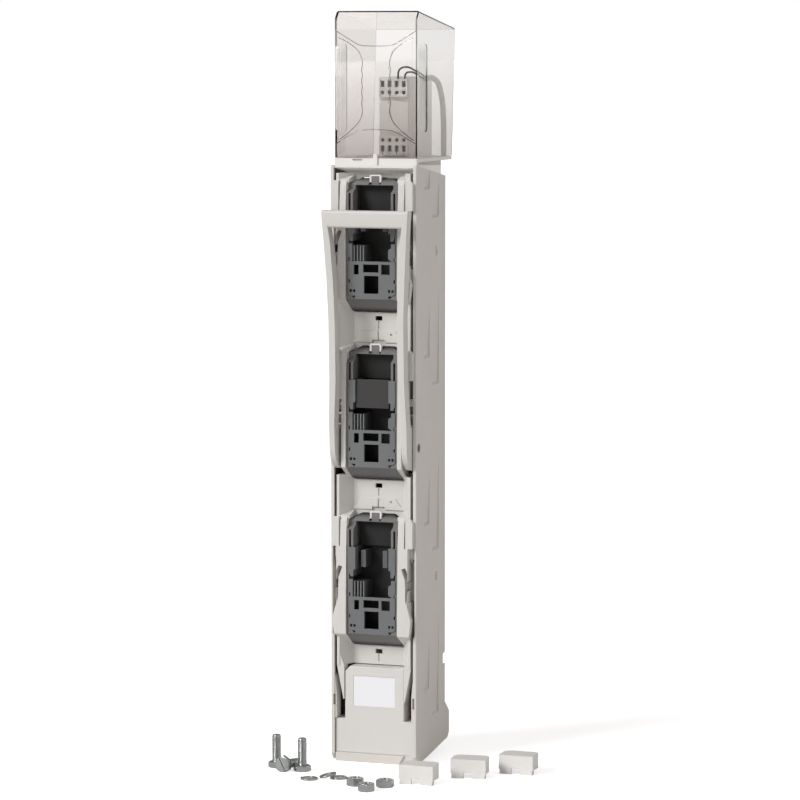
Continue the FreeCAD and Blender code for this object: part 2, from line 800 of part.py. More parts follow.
def frontCarriage():
    # The long front moulding that carries the three fuse carriers and slides in the casing.
    body = newBody("front_carriage")
    half = d.carriageHalfWidth
    inner = half - d.carriageWall
    mouth = d.troughMouthWidth / 2
    flat = d.troughFloorWidth / 2
    back = front + d.carriageDepth
    under = floorLevel + d.floorThickness
    legTop = -panelTop + 1
    section = [(-half, front), (-half, back), (-inner, back), (-inner, front + 3), (-flat - 2, under),
               (flat + 2, under), (inner, front + 3), (inner, back), (half, back), (half, front),
               (mouth, front), (flat, floorLevel), (-flat, floorLevel), (-mouth, front)]
    pad(body, "Z", legTop, carriageTop, [section])
    frames = [poleFrame(centre) for name, centre in poles]
    pad(body, "Y", front, under, bothSides([frame["plate"] for frame in frames]))
    bellies = [frame["belly"] for frame in frames]
    pad(body, "X", d.openingWidth / 2, d.hipHalfWidth, bellies)
    pad(body, "X", -d.hipHalfWidth, -d.openingWidth / 2, bellies)
    pocket(body, "Y", front - d.hipProud, front, bothSides([frame["trim"] for frame in frames]))
    pocket(body, "Y", front - d.hipProud, front + 12, bothSides([frame["notch"] for frame in frames]))
    slopes = [frame["slopes"] for frame in frames]
    pad(body, "X", flat - 1, mouth + 1, slopes)
    pad(body, "X", -mouth - 1, 1 - flat, slopes)
    stripGap = 0.3
    pad(body, "Y", front - d.stripProud, front - stripGap, bothSides([frame["strip"] for frame in frames]))
    pad(body, "Y", front - stripGap, front, bothSides([frame["root"] for frame in frames]))
    pocket(body, "Y", front - d.hipProud, front + 7, bothSides([frame["crescent"] for frame in frames]))
    middles = [centre + d.openingShift for name, centre in poles]
    pocket(body, "Y", front - d.hipProud, under, [openingOutline(term(0), middle) for middle in middles])
    visors(body)
    locks(body)
    leg = [(inner, legTop + 14), (half, legTop + 14), (half, legTop - 2), (36, -carriageFoot),
           (35, -carriageFoot), (35, legTop)]
    pad(body, "Y", front + 1, front + 14, bothSides([leg]))
    hubRoom = rectangle(d.openingWidth / 2 + 5, d.stripHalfWidth + 1, pivotZ - d.hubRadius - d.hubRoom, rackTop)
    pocket(body, "Y", front - d.hipProud, back, bothSides([hubRoom]))
    tongue = d.tongueHeight / 2
    outer = inside - d.runningGap
    tongues = [rectangle(inner, outer, level - tongue, level + tongue) for level in (d.guideHeight, -d.guideHeight)]
    pad(body, "Y", front + 3, baseFace - 4, bothSides(tongues))
    rackTongue = rectangle(hubInner, outer, rackTop, rackTop + 8)
    pad(body, "Y", front + 3, front + 3 + travel + 20, bothSides([rackTongue]))
    return body


def visors(body):
    # A thin trapezoid rim on the trough floor over the lower two openings, with a screw hole.
    rims = []
    trims = []
    for name, centre in poles[1:]:
        low, high = openingSpan(centre)
        crest = high + d.visorRise
        top = d.visorTopWidth / 2
        side = [(d.troughMouthWidth / 2 - 7, high + 4), (top + 6, high + 8.5), (top, crest)]
        rims.append([(-x, y) for x, y in side] + side[::-1])
        trims.append(rectangle(-7.4, 7.4, high - 2, high + d.catchHeadroom))
        trims.append((14.7, high + 12.8, 1.2))
    pad(body, "Y", floorLevel - d.visorStep, floorLevel + 1, rims)
    pocket(body, "Y", floorLevel - d.visorStep, floorLevel + 1, trims)


def locks(body):
    # The keyhole for a padlock strip under each opening and the seam groove below it.
    under = floorLevel + d.floorThickness
    holes = []
    grooves = []
    for name, centre in poles:
        top = openingSpan(centre)[0] - d.lockDrop
        foot = top - d.lockHeight
        half = d.lockWidth / 2
        holes.append((-half, half, foot, top, 0.8))
        grooves.append(rectangle(-d.grooveWidth / 2, d.grooveWidth / 2, foot - 9, foot))
    slots = []
    for name, centre in poles[1:]:
        high = openingSpan(centre)[1]
        slots.append(rectangle(-d.grooveWidth / 2, d.grooveWidth / 2, high + d.catchHeadroom, high + d.visorRise + 7))
    pocket(body, "Y", floorLevel, under, holes)
    pocket(body, "Y", floorLevel, floorLevel + 1.2, grooves)
    pocket(body, "Y", floorLevel - d.visorStep, floorLevel, slots)


def driveRacks():
    # Toothed racks under the carriage tongues; the handle sectors run in them.
    body = newBody("drive_racks")
    module = 2 * d.pitchRadius / d.toothCount
    pitch = module * math.pi
    line = pivotZ + d.pitchRadius
    root = line + module * 1.25
    tip = line - module
    slope = math.tan(math.radians(d.pressureAngle.value))
    halfTooth = pitch / 4 - d.backlash / 4
    atRoot = halfTooth + module * 1.25 * slope
    atTip = halfTooth - module * slope
    start = front + 3
    end = start + travel + 17
    profile = [(start, rackTop), (start, root)]
    for index in range(int(d.meshTeeth.value)):
        middle = pivotY + pitch * (index + 0.5)
        profile.extend([(middle - atRoot, root), (middle - atTip, tip), (middle + atTip, tip),
                        (middle + atRoot, root)])
    profile.extend([(end, root), (end, rackTop)])
    pad(body, "X", hubInner, hubOuter, [profile])
    pad(body, "X", -hubOuter, -hubInner, [profile])
    return body


def involuteProfile():
    # The face of one toothed sector, in the plane of the pivot, with its first tooth upright.
    pitchRadius = d.pitchRadius.value
    module = 2 * pitchRadius / d.toothCount.value
    baseRadius = pitchRadius * math.cos(math.radians(d.pressureAngle.value))
    tipRadius = pitchRadius + module
    rootRadius = pitchRadius - 1.25 * module
    toothAngle = 2 * math.pi / d.toothCount.value
    halfAngle = toothAngle / 4 - d.backlash.value / 4 / pitchRadius
    count = int(d.meshTeeth.value)

    def spread(radius):
        turn = math.acos(min(1, baseRadius / radius))
        return math.tan(turn) - turn

    def polar(radius, angle):
        return FreeCAD.Vector(0, radius * math.sin(angle), radius * math.cos(angle))

    def line(start, end):
        return Part.LineSegment(start, end).toShape()

    def curve(points):
        flank = Part.BSplineCurve()
        flank.interpolate(points)
        return flank.toShape()

    firstAngle = -toothAngle / 2
    lastAngle = (count - 0.5) * toothAngle
    startRadius = max(baseRadius, rootRadius)
    radii = [startRadius + (tipRadius - startRadius) * step / 6 for step in range(7)]
    lean = spread(pitchRadius)
    previous = polar(rootRadius, firstAngle)
    edges = []
    for index in range(count):
        middle = index * toothAngle
        rising = [polar(r, middle - halfAngle + spread(r) - lean) for r in radii]
        falling = [polar(r, middle + halfAngle - spread(r) + lean) for r in reversed(radii)]
        foot = polar(rootRadius, middle - halfAngle - lean)
        heel = polar(rootRadius, middle + halfAngle + lean)
        edges.extend([line(previous, foot), line(foot, rising[0]), curve(rising), line(rising[-1], falling[0]),
                      curve(falling), line(falling[-1], heel)])
        previous = heel
    hub = d.hubRadius.value
    last = polar(rootRadius, lastAngle)
    edges.append(line(previous, last))
    edges.append(line(last, polar(hub, lastAngle)))
    edges.append(Part.Arc(polar(hub, lastAngle), polar(hub, (firstAngle + lastAngle) / 2),
                          polar(hub, firstAngle)).toShape())
    edges.append(line(polar(hub, firstAngle), polar(rootRadius, firstAngle)))
    return Part.Face(Part.Wire(edges))


def driveSectors():
    # Involute toothed sectors on the hubs of the handle.
    face = involuteProfile()
    thick = d.sectorThickness.value
    solids = []
    for start in (hubInner.value, -hubOuter.value):
        solid = face.extrude(FreeCAD.Vector(thick, 0, 0))
        solid.translate(FreeCAD.Vector(start, pivotY.value, pivotZ.value))
        solids.append(solid)
    sectors = doc.addObject("Part::Feature", "drive_sectors")
    sectors.Label = "drive_sectors"
    sectors.Shape = Part.Compound(solids)
    subParts.append(sectors)
    return sectors


def handleFrame():
    # The U handle: a crossbar, two arms that flare at the top and round hubs on the pins.
    body = newBody("handle_frame")
    top = d.handleRise
    bar = top - d.barHeight
    arm = d.armHalfWidth
    outer = [(hubOuter, pivotZ), (hubOuter, -8), (arm, 40), (arm, 105), (arm + 1.8, 150), (arm + 4.4, 194),
             (halfWidth, top)]
    inner = [(halfWidth - d.armWidth, bar), (arm + 4.2 - d.armWidth, 190), (arm + 1.8 - d.armWidth, 150),
             (arm - d.armWidth, 105), (arm - d.armWidth, 40), (hubInner, -8), (hubInner, pivotZ)]
    loop = outer + mirrored(outer)[::-1] + mirrored(inner)[::-1] + inner
    pad(body, "Y", front - 34, front + 4, [loop])
    armFace = front - d.armProud
    barFace = front - d.barProud
    hubFace = pivotY - d.hubRadius
    below = pivotZ - 30
    above = top + 5
    faceLine = [(hubFace, pivotZ), (armFace + 3, -8), (armFace, 40), (armFace - 2.5, 105), (armFace - 3.5, 150),
                (barFace, 215), (barFace, above)]
    frontCut = [(front - 40, below), (hubFace, below)] + faceLine + [(front - 40, above)]
    pocket(body, "X", -halfWidth - 1, halfWidth + 1, [frontCut])
    rearLine = [(y + d.armDepth, z) for y, z in faceLine[1:5]]
    rearCut = [(front + 5, below), (hubFace + d.armDepth, below)] + rearLine
    rearCut += [(barFace + d.barDepth, 205), (barFace + d.barDepth, above), (front + 5, above)]
    pocket(body, "X", -halfWidth - 1, halfWidth + 1, [rearCut])
    dress(body, "Fillet", d.barRadius, lambda edge: runsAlong(edge, axisX) and edge.Length > 60)
    web = [(hubFace + 0.5, pivotZ), (armFace + 2.5, 5), (armFace + d.armDepth, 5), (armFace + d.armDepth, -8),
           (pivotY - 6, pivotZ + 20)]
    for low, high in ((hubInner, hubOuter), (-hubOuter, -hubInner)):
        pad(body, "X", low, high, [(pivotY, pivotZ, d.hubRadius)])
        pad(body, "X", low, high, [web])
        pocket(body, "X", low, high, [(pivotY, pivotZ, d.pinRadius + d.pinFit)])
    return body


def pivotPins():
    # Steel pins fixed in the side walls; the hubs of the handle turn on them.
    body = newBody("pivot_pins")
    end = hubInner + d.pinFit
    pad(body, "X", end, halfWidth - 0.5, [(pivotY, pivotZ, d.pinRadius)])
    pad(body, "X", -halfWidth + 0.5, -end, [(pivotY, pivotZ, d.pinRadius)])
    return body


def fuseCarrier(name, centre):
    # The dark frame that snaps into an opening and holds the fuse-link.
    body = newBody("fuse_carrier_" + name)
    middle = centre + d.openingShift
    half = insertHalf
    tall = insertTall
    wall = d.insertWall
    face = front - d.insertProud
    rear = face + d.insertDepth
    back = rear - 2
    foot = middle - tall
    chinFoot = foot - d.openingDrop - 1
    pad(body, "Y", face, rear, [openingOutline(d.insertGap, middle)])
    bar = front + d.insertBarSetback
    brow = [(face - 1, middle + 56), (face, middle + 56), (bar, middle + 61), (bar, middle + 66),
            (face + d.insertTopRake, middle + tall), (face + d.insertTopRake, middle + tall + 1),
            (face - 1, middle + tall + 1)]
    chin = [(face - 1, chinFoot), (face + d.insertFootRake, chinFoot), (face, foot + d.gridFootRise),
            (face - 1, foot + d.gridFootRise)]
    pocket(body, "X", -half - 1, half + 1, [brow, chin])
    upper = rectangle(-22, 22, middle + 37, middle + tall - d.topBarHeight)
    pocket(body, "Y", face, rear - 10, [upper])
    side = half - wall
    lower = [(-side, foot + d.gridCornerRise), (-side + 7, foot + d.gridFootRise),
             (side - 7, foot + d.gridFootRise), (side, foot + d.gridCornerRise), (side, middle + 37),
             (-side, middle + 37)]
    pocket(body, "Y", face, back, [lower])
    slot = rectangle(24.6, side, middle + 37, middle + 56)
    pocket(body, "Y", face, rear - 6, bothSides([slot]))
    latchFront = front + d.latchSetback
    pocket(body, "Y", face, latchFront + 7, [rectangle(-7, 7, middle + tall - 6.5, middle + tall)])
    latch = rectangle(-4.4, 4.4, middle + tall - 6.5, middle + tall + 2.4)
    pad(body, "Y", latchFront, latchFront + 7, [latch])
    return body


def windowGrid(name, centre):
    # The lighter basket of a carrier: windows, probe holes, side columns and the guide posts.
    body = newBody("window_grid_" + name)
    middle = centre + d.openingShift
    half = insertHalf - d.insertWall
    foot = middle - insertTall
    top = middle - 18.4
    face = front - d.insertProud - 1
    thick = d.gridThickness
    back = face + 1 + d.insertDepth - 2
    column = half - 4.6
    outline = [(-half, foot + d.gridCornerRise), (-half + 7, foot + d.gridFootRise),
               (half - 7, foot + d.gridFootRise), (half, foot + d.gridCornerRise), (half, middle + 1),
               (column, middle + 1), (column, top), (-column, top), (-column, middle + 1), (-half, middle + 1)]
    pad(body, "Y", face, face + thick, [outline])
    windows = [rectangle(-20.8, -15, middle - 32.7, middle - 22), rectangle(-10, 8, middle - 30.3, middle - 21.6),
               rectangle(11, 21, middle - 32.5, middle - 21.5), rectangle(-9, 8, middle - 53.5, middle - 34)]
    probes = []
    for level, x, wide, high in ((middle - 52, 19, 2.6, 3), (middle - 52, 23, 2.6, 3), (middle - 58.6, 19.4, 5.2, 2.6)):
        probes.append(rectangle(x, x + wide, level, level + high))
    nicks = [rectangle(half - 1.8, half, level - 2, level + 2) for level in (middle - 16, middle - 40)]
    pocket(body, "Y", face, face + thick, windows + bothSides(probes + nicks))
    post = [(19.4, middle + 12), (21.6, middle + 12), (22, middle + 4), (24.6, middle + 4), (half, middle + 9),
            (half, middle + 36.6), (19.4, middle + 36.6)]
    pad(body, "Y", face, back, bothSides([post]))
    stub = [(10, middle + 14), (15.4, middle + 14), (15.4, middle + 32.6), (10, middle + 32.6)]
    pad(body, "Y", face + 8, back, bothSides([stub]))
    ribs = [rectangle(x, x + 1.4, top, middle - 1) for x in (-21.4, -17.6, -14.2, -10.8)]
    pad(body, "Y", face + thick / 2, back, ribs)
    lug = (18.8, half + 3, middle - 17, middle - 4, 3)
    pad(body, "Y", face + 1, face + 1 + thick, [lug])
    pocket(body, "Y", face, back, bothSides([rectangle(half, half + 4, middle - 20, middle)]))
    return body


def carrierPlate():
    # A plain plate clipped over the guide posts of the middle carrier.
    body = newBody("carrier_plate_2")
    rear = front - d.insertProud + 7
    low = d.openingShift + 6
    high = d.openingShift + 37
    pad(body, "Y", rear - 5.5, rear, [(-18.8, 18.8, low, high, 1)])
    return body


def fuseBody(name, centre):
    # The ceramic body of the fuse-link.
    body = newBody("fuse_body_" + name)
    half = d.fuseBodyWidth / 2
    deep = d.fuseBodyDepth / 2
    tall = d.fuseBodyHeight / 2
    pad(body, "Z", centre - tall, centre + tall, [rectangle(-half, half, fuseAxis - deep, fuseAxis + deep)])
    dress(body, "Chamfer", 5, lambda edge: runsAlong(edge, axisZ))
    return body


def fuseBlades(name, centre):
    # End plates with the two knife blades of the fuse-link.
    body = newBody("fuse_blades_" + name)
    half = d.fuseBodyWidth / 2 - 3
    deep = d.fuseBodyDepth / 2
    for way in (1, -1):
        near = centre + d.fuseBodyHeight / 2 * way
        far = near + d.endPlate * way
        tip = centre + d.fuseLength / 2 * way
        low, high = (near, far) if way > 0 else (far, near)
        pad(body, "Z", low, high, [rectangle(-half, half, fuseAxis - deep, fuseAxis + deep - 3)])
        low, high = (far, tip) if way > 0 else (tip, far)
        blade = rectangle(-d.bladeThickness / 2, d.bladeThickness / 2, fuseAxis - d.bladeWidth / 2,
                          fuseAxis + d.bladeWidth / 2)
        pad(body, "Z", low, high, [blade])
    return body


def catch(name, centre):
    # The pale sprung catch that locks a carrier in the carriage.
    body = newBody("catch_" + name)
    top = centre + d.openingShift + insertTall
    face = front + d.latchSetback
    gap = 0.3
    inner = 4.4 + gap
    outer = inner + 1.9
    foot = top - 4
    crown = top + 2.4 + gap
    loop = [(-outer, foot), (-inner, foot), (-inner, crown), (inner, crown), (inner, foot),
            (outer, foot), (outer, crown + 0.5), (outer - 1.2, crown + 1.7), (-outer + 1.2, crown + 1.7),
            (-outer, crown + 0.5)]
    pad(body, "Y", face, face + 4, [loop])
    return body


def clearCover():
    # The clear shell over the auxiliary terminals, open below and behind, with grip pockets in front.
    body = newBody("clear_cover")
    half = d.coverWidth / 2
    face = front + d.coverSetback
    wall = d.coverWall
    foot = coverFoot + 0.3
    brow = 7
    rearTop = d.coverRear + d.coverLean
    profile = [(face, foot), (face, coverTop), (face + brow, coverTop + d.coverRise),
               (rearTop, coverTop - d.coverDrop), (d.coverRear, foot)]
    pad(body, "X", -half, half, [profile])
    roof = FreeCAD.Vector(0, (rearTop - face - brow).value, -(d.coverRise + d.coverDrop).value).normalize()
    dress(body, "Chamfer", 1.4, lambda edge: runsAlong(edge, roof))
    hollow = [(face + wall, foot), (face + wall, coverTop - 1),
              (face + brow + wall / 2, coverTop + d.coverRise - wall), (rearTop, coverTop - d.coverDrop - wall),
              (rearTop + 5, coverTop - 40), (d.coverRear + 5, foot)]
    pocket(body, "X", -half + wall, half - wall, [hollow])
    frontRelief(body, face, half)
    channel = (face + 5, face + 34, foot + 28, foot + 124, 6)
    pocket(body, "X", half - d.coverRelief, half, [channel])
    pocket(body, "X", -half, -half + d.coverRelief, [channel])
    return body


def frontRelief(body, face, half):
    # The waisted band between two side pockets, with a tapered field above and below it.
    rim = half - 2
    waist = d.reliefBand
    top = coverFoot + d.coverHeight
    upper = [(-rim, top - 14), (-waist - 1.4, top - 30), (waist + 1.4, top - 30), (rim, top - 14),
             (rim, top - 3), (-rim, top - 3)]
    lower = [(-rim, coverFoot + 3), (rim, coverFoot + 3), (rim, coverFoot + 16), (waist + 2, coverFoot + 31),
             (-waist - 2, coverFoot + 31), (-rim, coverFoot + 16)]
    side = [(rim - 4, top - 22), (waist + 3, top - 34), (waist, top - 44), (waist, coverFoot + 51),
            (waist + 4, coverFoot + 38), (rim - 4, coverFoot + 20)]
    relief = face + d.coverRelief
    pocket(body, "Y", face, relief, [upper, lower])
    pocket(body, "Y", face, relief, bothSides([side]))
    scallops = [(waist + 2.4, top - 54 - 12 * step, 4) for step in range(4)]
    pocket(body, "Y", face, relief, bothSides(scallops))


def coverCatch():
    # The small hook that holds the front of the clear cover.
    body = newBody("cover_catch")
    face = front + d.coverSetback
    half = 2.4
    pad(body, "Y", face - 3, face - 1, [(-half, half, coverFoot - 7.4, coverFoot + 5, 1)])
    pad(body, "Y", face - 1, face - 0.3, [rectangle(-half, half, coverFoot + 1, coverFoot + 4)])
    return body


def auxModule():
    # The auxiliary module on the ledge, with a raised middle bar between its terminal rows.
    body = newBody("aux_module")
    left = d.moduleShift - d.moduleWidth / 2
    right = d.moduleShift + d.moduleWidth / 2
    face = -d.moduleFront
    pad(body, "Z", coverFoot, coverFoot + d.moduleHeight, [rectangle(left, right, face, d.coverRear - 3)])
    pad(body, "Y", face - 4, face, [rectangle(left + 2, right - 2, coverFoot + 28, coverFoot + 62)])
    pocket(body, "Y", face - 4, face - 3, [(left + 12, right - 10, coverFoot + 38, coverFoot + 50, 1)])
    return body


def terminalBlock(label, low, high, slotFoot, holes):
    # A four-way screw terminal block: a row of slots and rows of round holes, each a level and a radius.
    body = newBody(label)
    half = d.moduleWidth / 2 - 2
    rear = -d.moduleFront
    face = rear - 7
    pad(body, "Z", coverFoot + low, coverFoot + high,
        [rectangle(d.moduleShift - half, d.moduleShift + half, face, rear)])
    cuts = []
    for index in range(4):
        x = d.moduleShift + (index - 1.5) * d.terminalPitch
        cuts.append(rectangle(x - 2.2, x + 2.2, coverFoot + slotFoot, coverFoot + slotFoot + 7))
        cuts.extend((x, coverFoot + level, radius) for level, radius in holes)
    pocket(body, "Y", face, face + 5, cuts)
    return body


def tubePath(points, share):
    # Straight runs joined by tangent arcs through hand-placed corner points.
    edges = []
    last = points[0]
    for before, corner, after in zip(points, points[1:], points[2:]):
        first = (before - corner).normalize()
        second = (after - corner).normalize()
        turn = math.pi - first.getAngle(second)
        run = min((before - corner).Length, (after - corner).Length) * share
        radius = run / math.tan(turn / 2)
        centreWay = (first + second).normalize()
        middle = corner + centreWay * (radius / math.cos(turn / 2) - radius)
        start = corner + first * run
        end = corner + second * run
        if (start - last).Length > 0.001:
            edges.append(Part.LineSegment(last, start).toShape())
        edges.append(Part.Arc(start, middle, end).toShape())
        last = end
    edges.append(Part.LineSegment(last, points[-1]).toShape())
    return Part.Wire(edges)


def tube(label, routes, radius):
    solids = []
    for points in routes:
        wire = tubePath(points, 0.45)
        way = wire.Edges[0].tangentAt(wire.Edges[0].FirstParameter)
        mouth = Part.Wire([Part.Circle(points[0], way, radius.value).toShape()])
        solids.append(wire.makePipeShell([mouth], True, False))
    cable = doc.addObject("Part::Feature", label)
    cable.Label = label
    cable.Shape = solids[0] if len(solids) == 1 else Part.Compound(solids)
    subParts.append(cable)
    return cable


def cables():
    # A sheathed cable beside the module, with two bare cores led to its upper terminals.
    ledge = coverFoot.value
    top = ledge + d.moduleHeight.value
    half = d.moduleWidth.value / 2 + d.moduleShift.value
    face = -d.moduleFront.value
    side = half + 16
    vector = FreeCAD.Vector
    sheath = [vector(side - 1.5, face + 3, top - 2), vector(side, face + 20, top), vector(side + 1, face + 40, top - 6),
              vector(side + 1, face + 54, top - 26), vector(side + 1, face + 58, top - 52),
              vector(side + 1, face + 58, ledge)]
    mouth = vector(side - 2.2, face + 1.6, top - 1.2)
    lower = [vector(half - 6, face - 3, top - 1.9), vector(half - 5, face - 3.4, top + 5),
             vector(half + 4, face - 3, top + 6), vector(half + 11, face - 1, top), mouth]
    upper = [vector(half - 14, face - 3, top - 1.9), vector(half - 13, face - 4, top + 9),
             vector(half - 2, face - 6, top + 12), vector(half + 10, face - 3, top + 5),
             mouth + vector(0.2, 0, 2.6)]
    tube("sheathed_cable", [sheath], d.cableRadius)
    tube("black_wires", [lower, upper], d.wireRadius)


def compound(label, links):
    group = doc.addObject("Part::Compound", label)
    group.Label = label
    group.Links = links
    subParts.append(group)
    return group


def onGround(piece, across, ahead, turn):
    # Put a piece on the ground, its place given in casing widths beside and before the casing.
    x = d.casingWidth * across
    y = front - d.casingWidth * ahead
    piece.Placement = FreeCAD.Placement(FreeCAD.Vector(x.value, y.value, 0), turn)
    doc.recompute()
    lift = ground.value - piece.Shape.BoundBox.ZMin
    piece.Placement = FreeCAD.Placement(FreeCAD.Vector(x.value, y.value, lift), turn)
    return piece


def turned(yaw, pitch=0, roll=0):
    return FreeCAD.Rotation(yaw, pitch, roll)


def spareBolts():
    # Three hexagon bolts with slotted heads: two stand on their heads, one lies between them.
    bolts = []
    rests = ((-0.94, 0.54, turned(12)), (-0.60, 0.64, turned(40)), (-0.785, 0.78, turned(-8, 0, -96.6)))
    for index, (across, ahead, turn) in enumerate(rests, start=1):
        body = newBody("bolt%d" % index)
        subParts.remove(body)
        pad(body, "Z", 0, d.headHeight, [hexagon(0, 0, d.headAcross, 0)])
        pad(body, "Z", d.headHeight, d.headHeight + d.boltLength, [(0, 0, d.boltRadius)])
        slotHalf = d.slotWidth / 2
        reach = d.headAcross * 0.45
        pocket(body, "Z", 0, 1.4, [rectangle(-reach, reach, -slotHalf, slotHalf)])
        bolts.append(onGround(body, across, ahead, turn))
    compound("spare_bolts", bolts)


def spareNuts():
    nuts = []
    for index, (across, ahead, yaw) in enumerate(((0.21, 1.17, 10), (0.42, 1.40, 25), (0.54, 1.14, 0)), start=1):
        body = newBody("nut%d" % index)
        subParts.remove(body)
        pad(body, "Z", 0, d.nutHeight, [hexagon(0, 0, d.headAcross)])
        pocket(body, "Z", 0, d.nutHeight, [(0, 0, d.boltRadius - 0.7)])
        nuts.append(onGround(body, across, ahead, turned(yaw)))
    compound("spare_nuts", nuts)


def spareRings():
    # Three split spring rings; the middle one leans on its neighbour.
    rings = []
    rests = ((-0.36, 1.06, turned(160)), (-0.195, 0.92, turned(10, -13, 0)), (-0.073, 0.91, turned(250)))
    for index, (across, ahead, turn) in enumerate(rests, start=1):
        body = newBody("ring%d" % index)
        subParts.remove(body)
        pad(body, "Z", 0, d.ringThickness, [(0, 0, d.ringRadius)])
        pocket(body, "Z", 0, d.ringThickness, [(0, 0, d.ringBore)])
        split = [(d.ringBore - 1, -0.8), (d.ringRadius + 1, 0.4), (d.ringRadius + 1, 1.6), (d.ringBore - 1, 0.4)]
        pocket(body, "Z", 0, d.ringThickness, [split])
        rings.append(onGround(body, across, ahead, turn))
    compound("spare_washers", rings)


def spareCaps():
    # Three terminal caps: a notched front, two returns and a round-cornered hood behind.
    caps = []
    half = d.capWidth / 2
    wall = d.capWall
    high = d.capHeight
    hood = half + 1
    rests = ((0.82, 0.945, 0), (1.25, 0.455, 6.6), (1.67, 0.07, 0))
    for index, (across, ahead, yaw) in enumerate(rests, start=1):
        body = newBody("cap%d" % index)
        subParts.remove(body)
        pad(body, "Z", high / 4, high, [(-hood, hood, -9, d.capDepth, 8)])
        pocket(body, "Z", high / 4, high - wall, [(-hood + wall, hood - wall, -9, d.capDepth - wall, 8 - wall)])
        pocket(body, "Y", -9, 0, [rectangle(-hood, hood, 0, high)])
        notch = 5
        plate = [(-half, 0), (-notch, 0), (-notch, 6.5), (notch, 6.5), (notch, 0), (half, 0), (half, high),
                 (-half, high)]
        pad(body, "Y", 0, wall, [plate])
        pad(body, "Y", 0, high / 3, bothSides([rectangle(half - wall, half, 0, high)]))
        caps.append(onGround(body, across, ahead, turned(yaw)))
    compound("spare_caps", caps)


sideWall("side_wall_left", -1)
sideWall("side_wall_right", 1)
baseMoulding()
sideScrews()
topEndPiece()
bottomEndCover()
terminalFrame()
labelPanel()
labelCard()
for (name, centre), shift in zip(poles, outgoingShifts):
    busbarContact(name, centre)
    jaw("upper_jaw_" + name, centre, 1)
    jaw("lower_jaw_" + name, centre, -1)
    outgoingBar(name, centre, shift)
jawSprings()
terminalBolts()
frontCarriage()
driveRacks()
driveSectors()
handleFrame()
pivotPins()
for name, centre in poles:
    fuseCarrier(name, centre)
    windowGrid(name, centre)
    fuseBody(name, centre)
    fuseBlades(name, centre)
    catch(name, centre)
carrierPlate()
clearCover()
coverCatch()
auxModule()
terminalBlock("upper_terminals", d.moduleHeight - 22, d.moduleHeight - 2, d.moduleHeight - 11,
              [(d.moduleHeight - 17, 2.2)])
terminalBlock("lower_terminals", term(2), term(24), term(6), [(term(19), 2.2), (term(4), 1)])
cables()
spareBolts()
spareNuts()
spareRings()
spareCaps()

doc.recompute()
for thing in doc.Objects:
    if "Invalid" in thing.State or "Error" in thing.State:
        raise ValueError("%s failed: %s" % (thing.Label, thing.State))
for part in subParts:
    if part.Shape.isNull() or not part.Shape.isValid():
        raise ValueError("%s has no valid shape" % part.Label)

os.makedirs("parts", exist_ok=True)
for part in subParts:
    part.Shape.exportStep("parts/%s.step" % part.Label)
    box = part.Shape.BoundBox
    print("%-20s %d solids %9.0f mm3  x %7.1f %7.1f  y %7.1f %7.1f  z %7.1f %7.1f" % (
        part.Label, len(part.Shape.Solids), part.Shape.Volume, box.XMin, box.XMax, box.YMin, box.YMax,
        box.ZMin, box.ZMax))
print(len(subParts), "sub-parts")
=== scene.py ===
import json
import math

import bmesh
import bpy
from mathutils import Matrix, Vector


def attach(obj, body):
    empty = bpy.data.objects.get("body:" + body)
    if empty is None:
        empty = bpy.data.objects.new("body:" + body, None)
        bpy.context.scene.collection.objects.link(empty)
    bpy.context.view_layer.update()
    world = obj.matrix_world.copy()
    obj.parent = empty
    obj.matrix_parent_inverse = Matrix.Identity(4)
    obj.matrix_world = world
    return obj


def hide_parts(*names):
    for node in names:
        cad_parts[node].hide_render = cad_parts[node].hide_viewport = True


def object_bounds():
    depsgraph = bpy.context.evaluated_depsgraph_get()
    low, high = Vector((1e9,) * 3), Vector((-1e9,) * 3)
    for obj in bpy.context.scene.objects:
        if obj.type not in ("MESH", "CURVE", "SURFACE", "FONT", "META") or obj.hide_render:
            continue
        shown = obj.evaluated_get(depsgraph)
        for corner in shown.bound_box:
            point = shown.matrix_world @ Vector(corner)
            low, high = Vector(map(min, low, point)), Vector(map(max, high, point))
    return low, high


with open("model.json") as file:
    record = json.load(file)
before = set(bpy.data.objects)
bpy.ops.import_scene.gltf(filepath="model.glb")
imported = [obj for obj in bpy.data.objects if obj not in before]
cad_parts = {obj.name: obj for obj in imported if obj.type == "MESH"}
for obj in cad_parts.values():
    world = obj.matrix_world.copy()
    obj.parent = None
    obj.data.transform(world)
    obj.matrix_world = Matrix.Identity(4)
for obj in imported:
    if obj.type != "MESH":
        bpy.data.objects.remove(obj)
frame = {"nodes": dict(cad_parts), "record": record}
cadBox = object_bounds()
nodes = frame["nodes"]
mm = 0.001
white = (1.0, 1.0, 1.0, 1.0)
print("frame loaded:", len(nodes), "nodes")


# Camera, floor and lights.
view = {"place": (1.3307, -3.7897, 0.4120), "target": (0.0137, -0.0490, 0.0129), "lens": 162.0,
        "sensor": 36.0, "near": 0.1, "far": 200.0}
# Glow and clearLoss light the floor for the camera alone, and late is the share of white that reaches a
# clear edge after lateTurns turns of the light.
stage = {"reach": 40.0, "colour": (0.80, 0.80, 0.80), "glow": 0.66, "clearLoss": 0.32,
         "sky": (1.0, 0.955, 0.915), "ambient": 0.27, "late": 0.4, "lateTurns": 4.5}
lights = [
    {"name": "keySun", "place": (-2.1, -2.8, 2.1), "angle": 24.0, "power": 2.40},
    {"name": "fillSun", "place": (2.8, -0.7, 0.9), "angle": 70.0, "power": 0.70},
]


def sceneObject(name, data):
    piece = bpy.data.objects.new(name, data)
    bpy.context.scene.collection.objects.link(piece)
    return piece


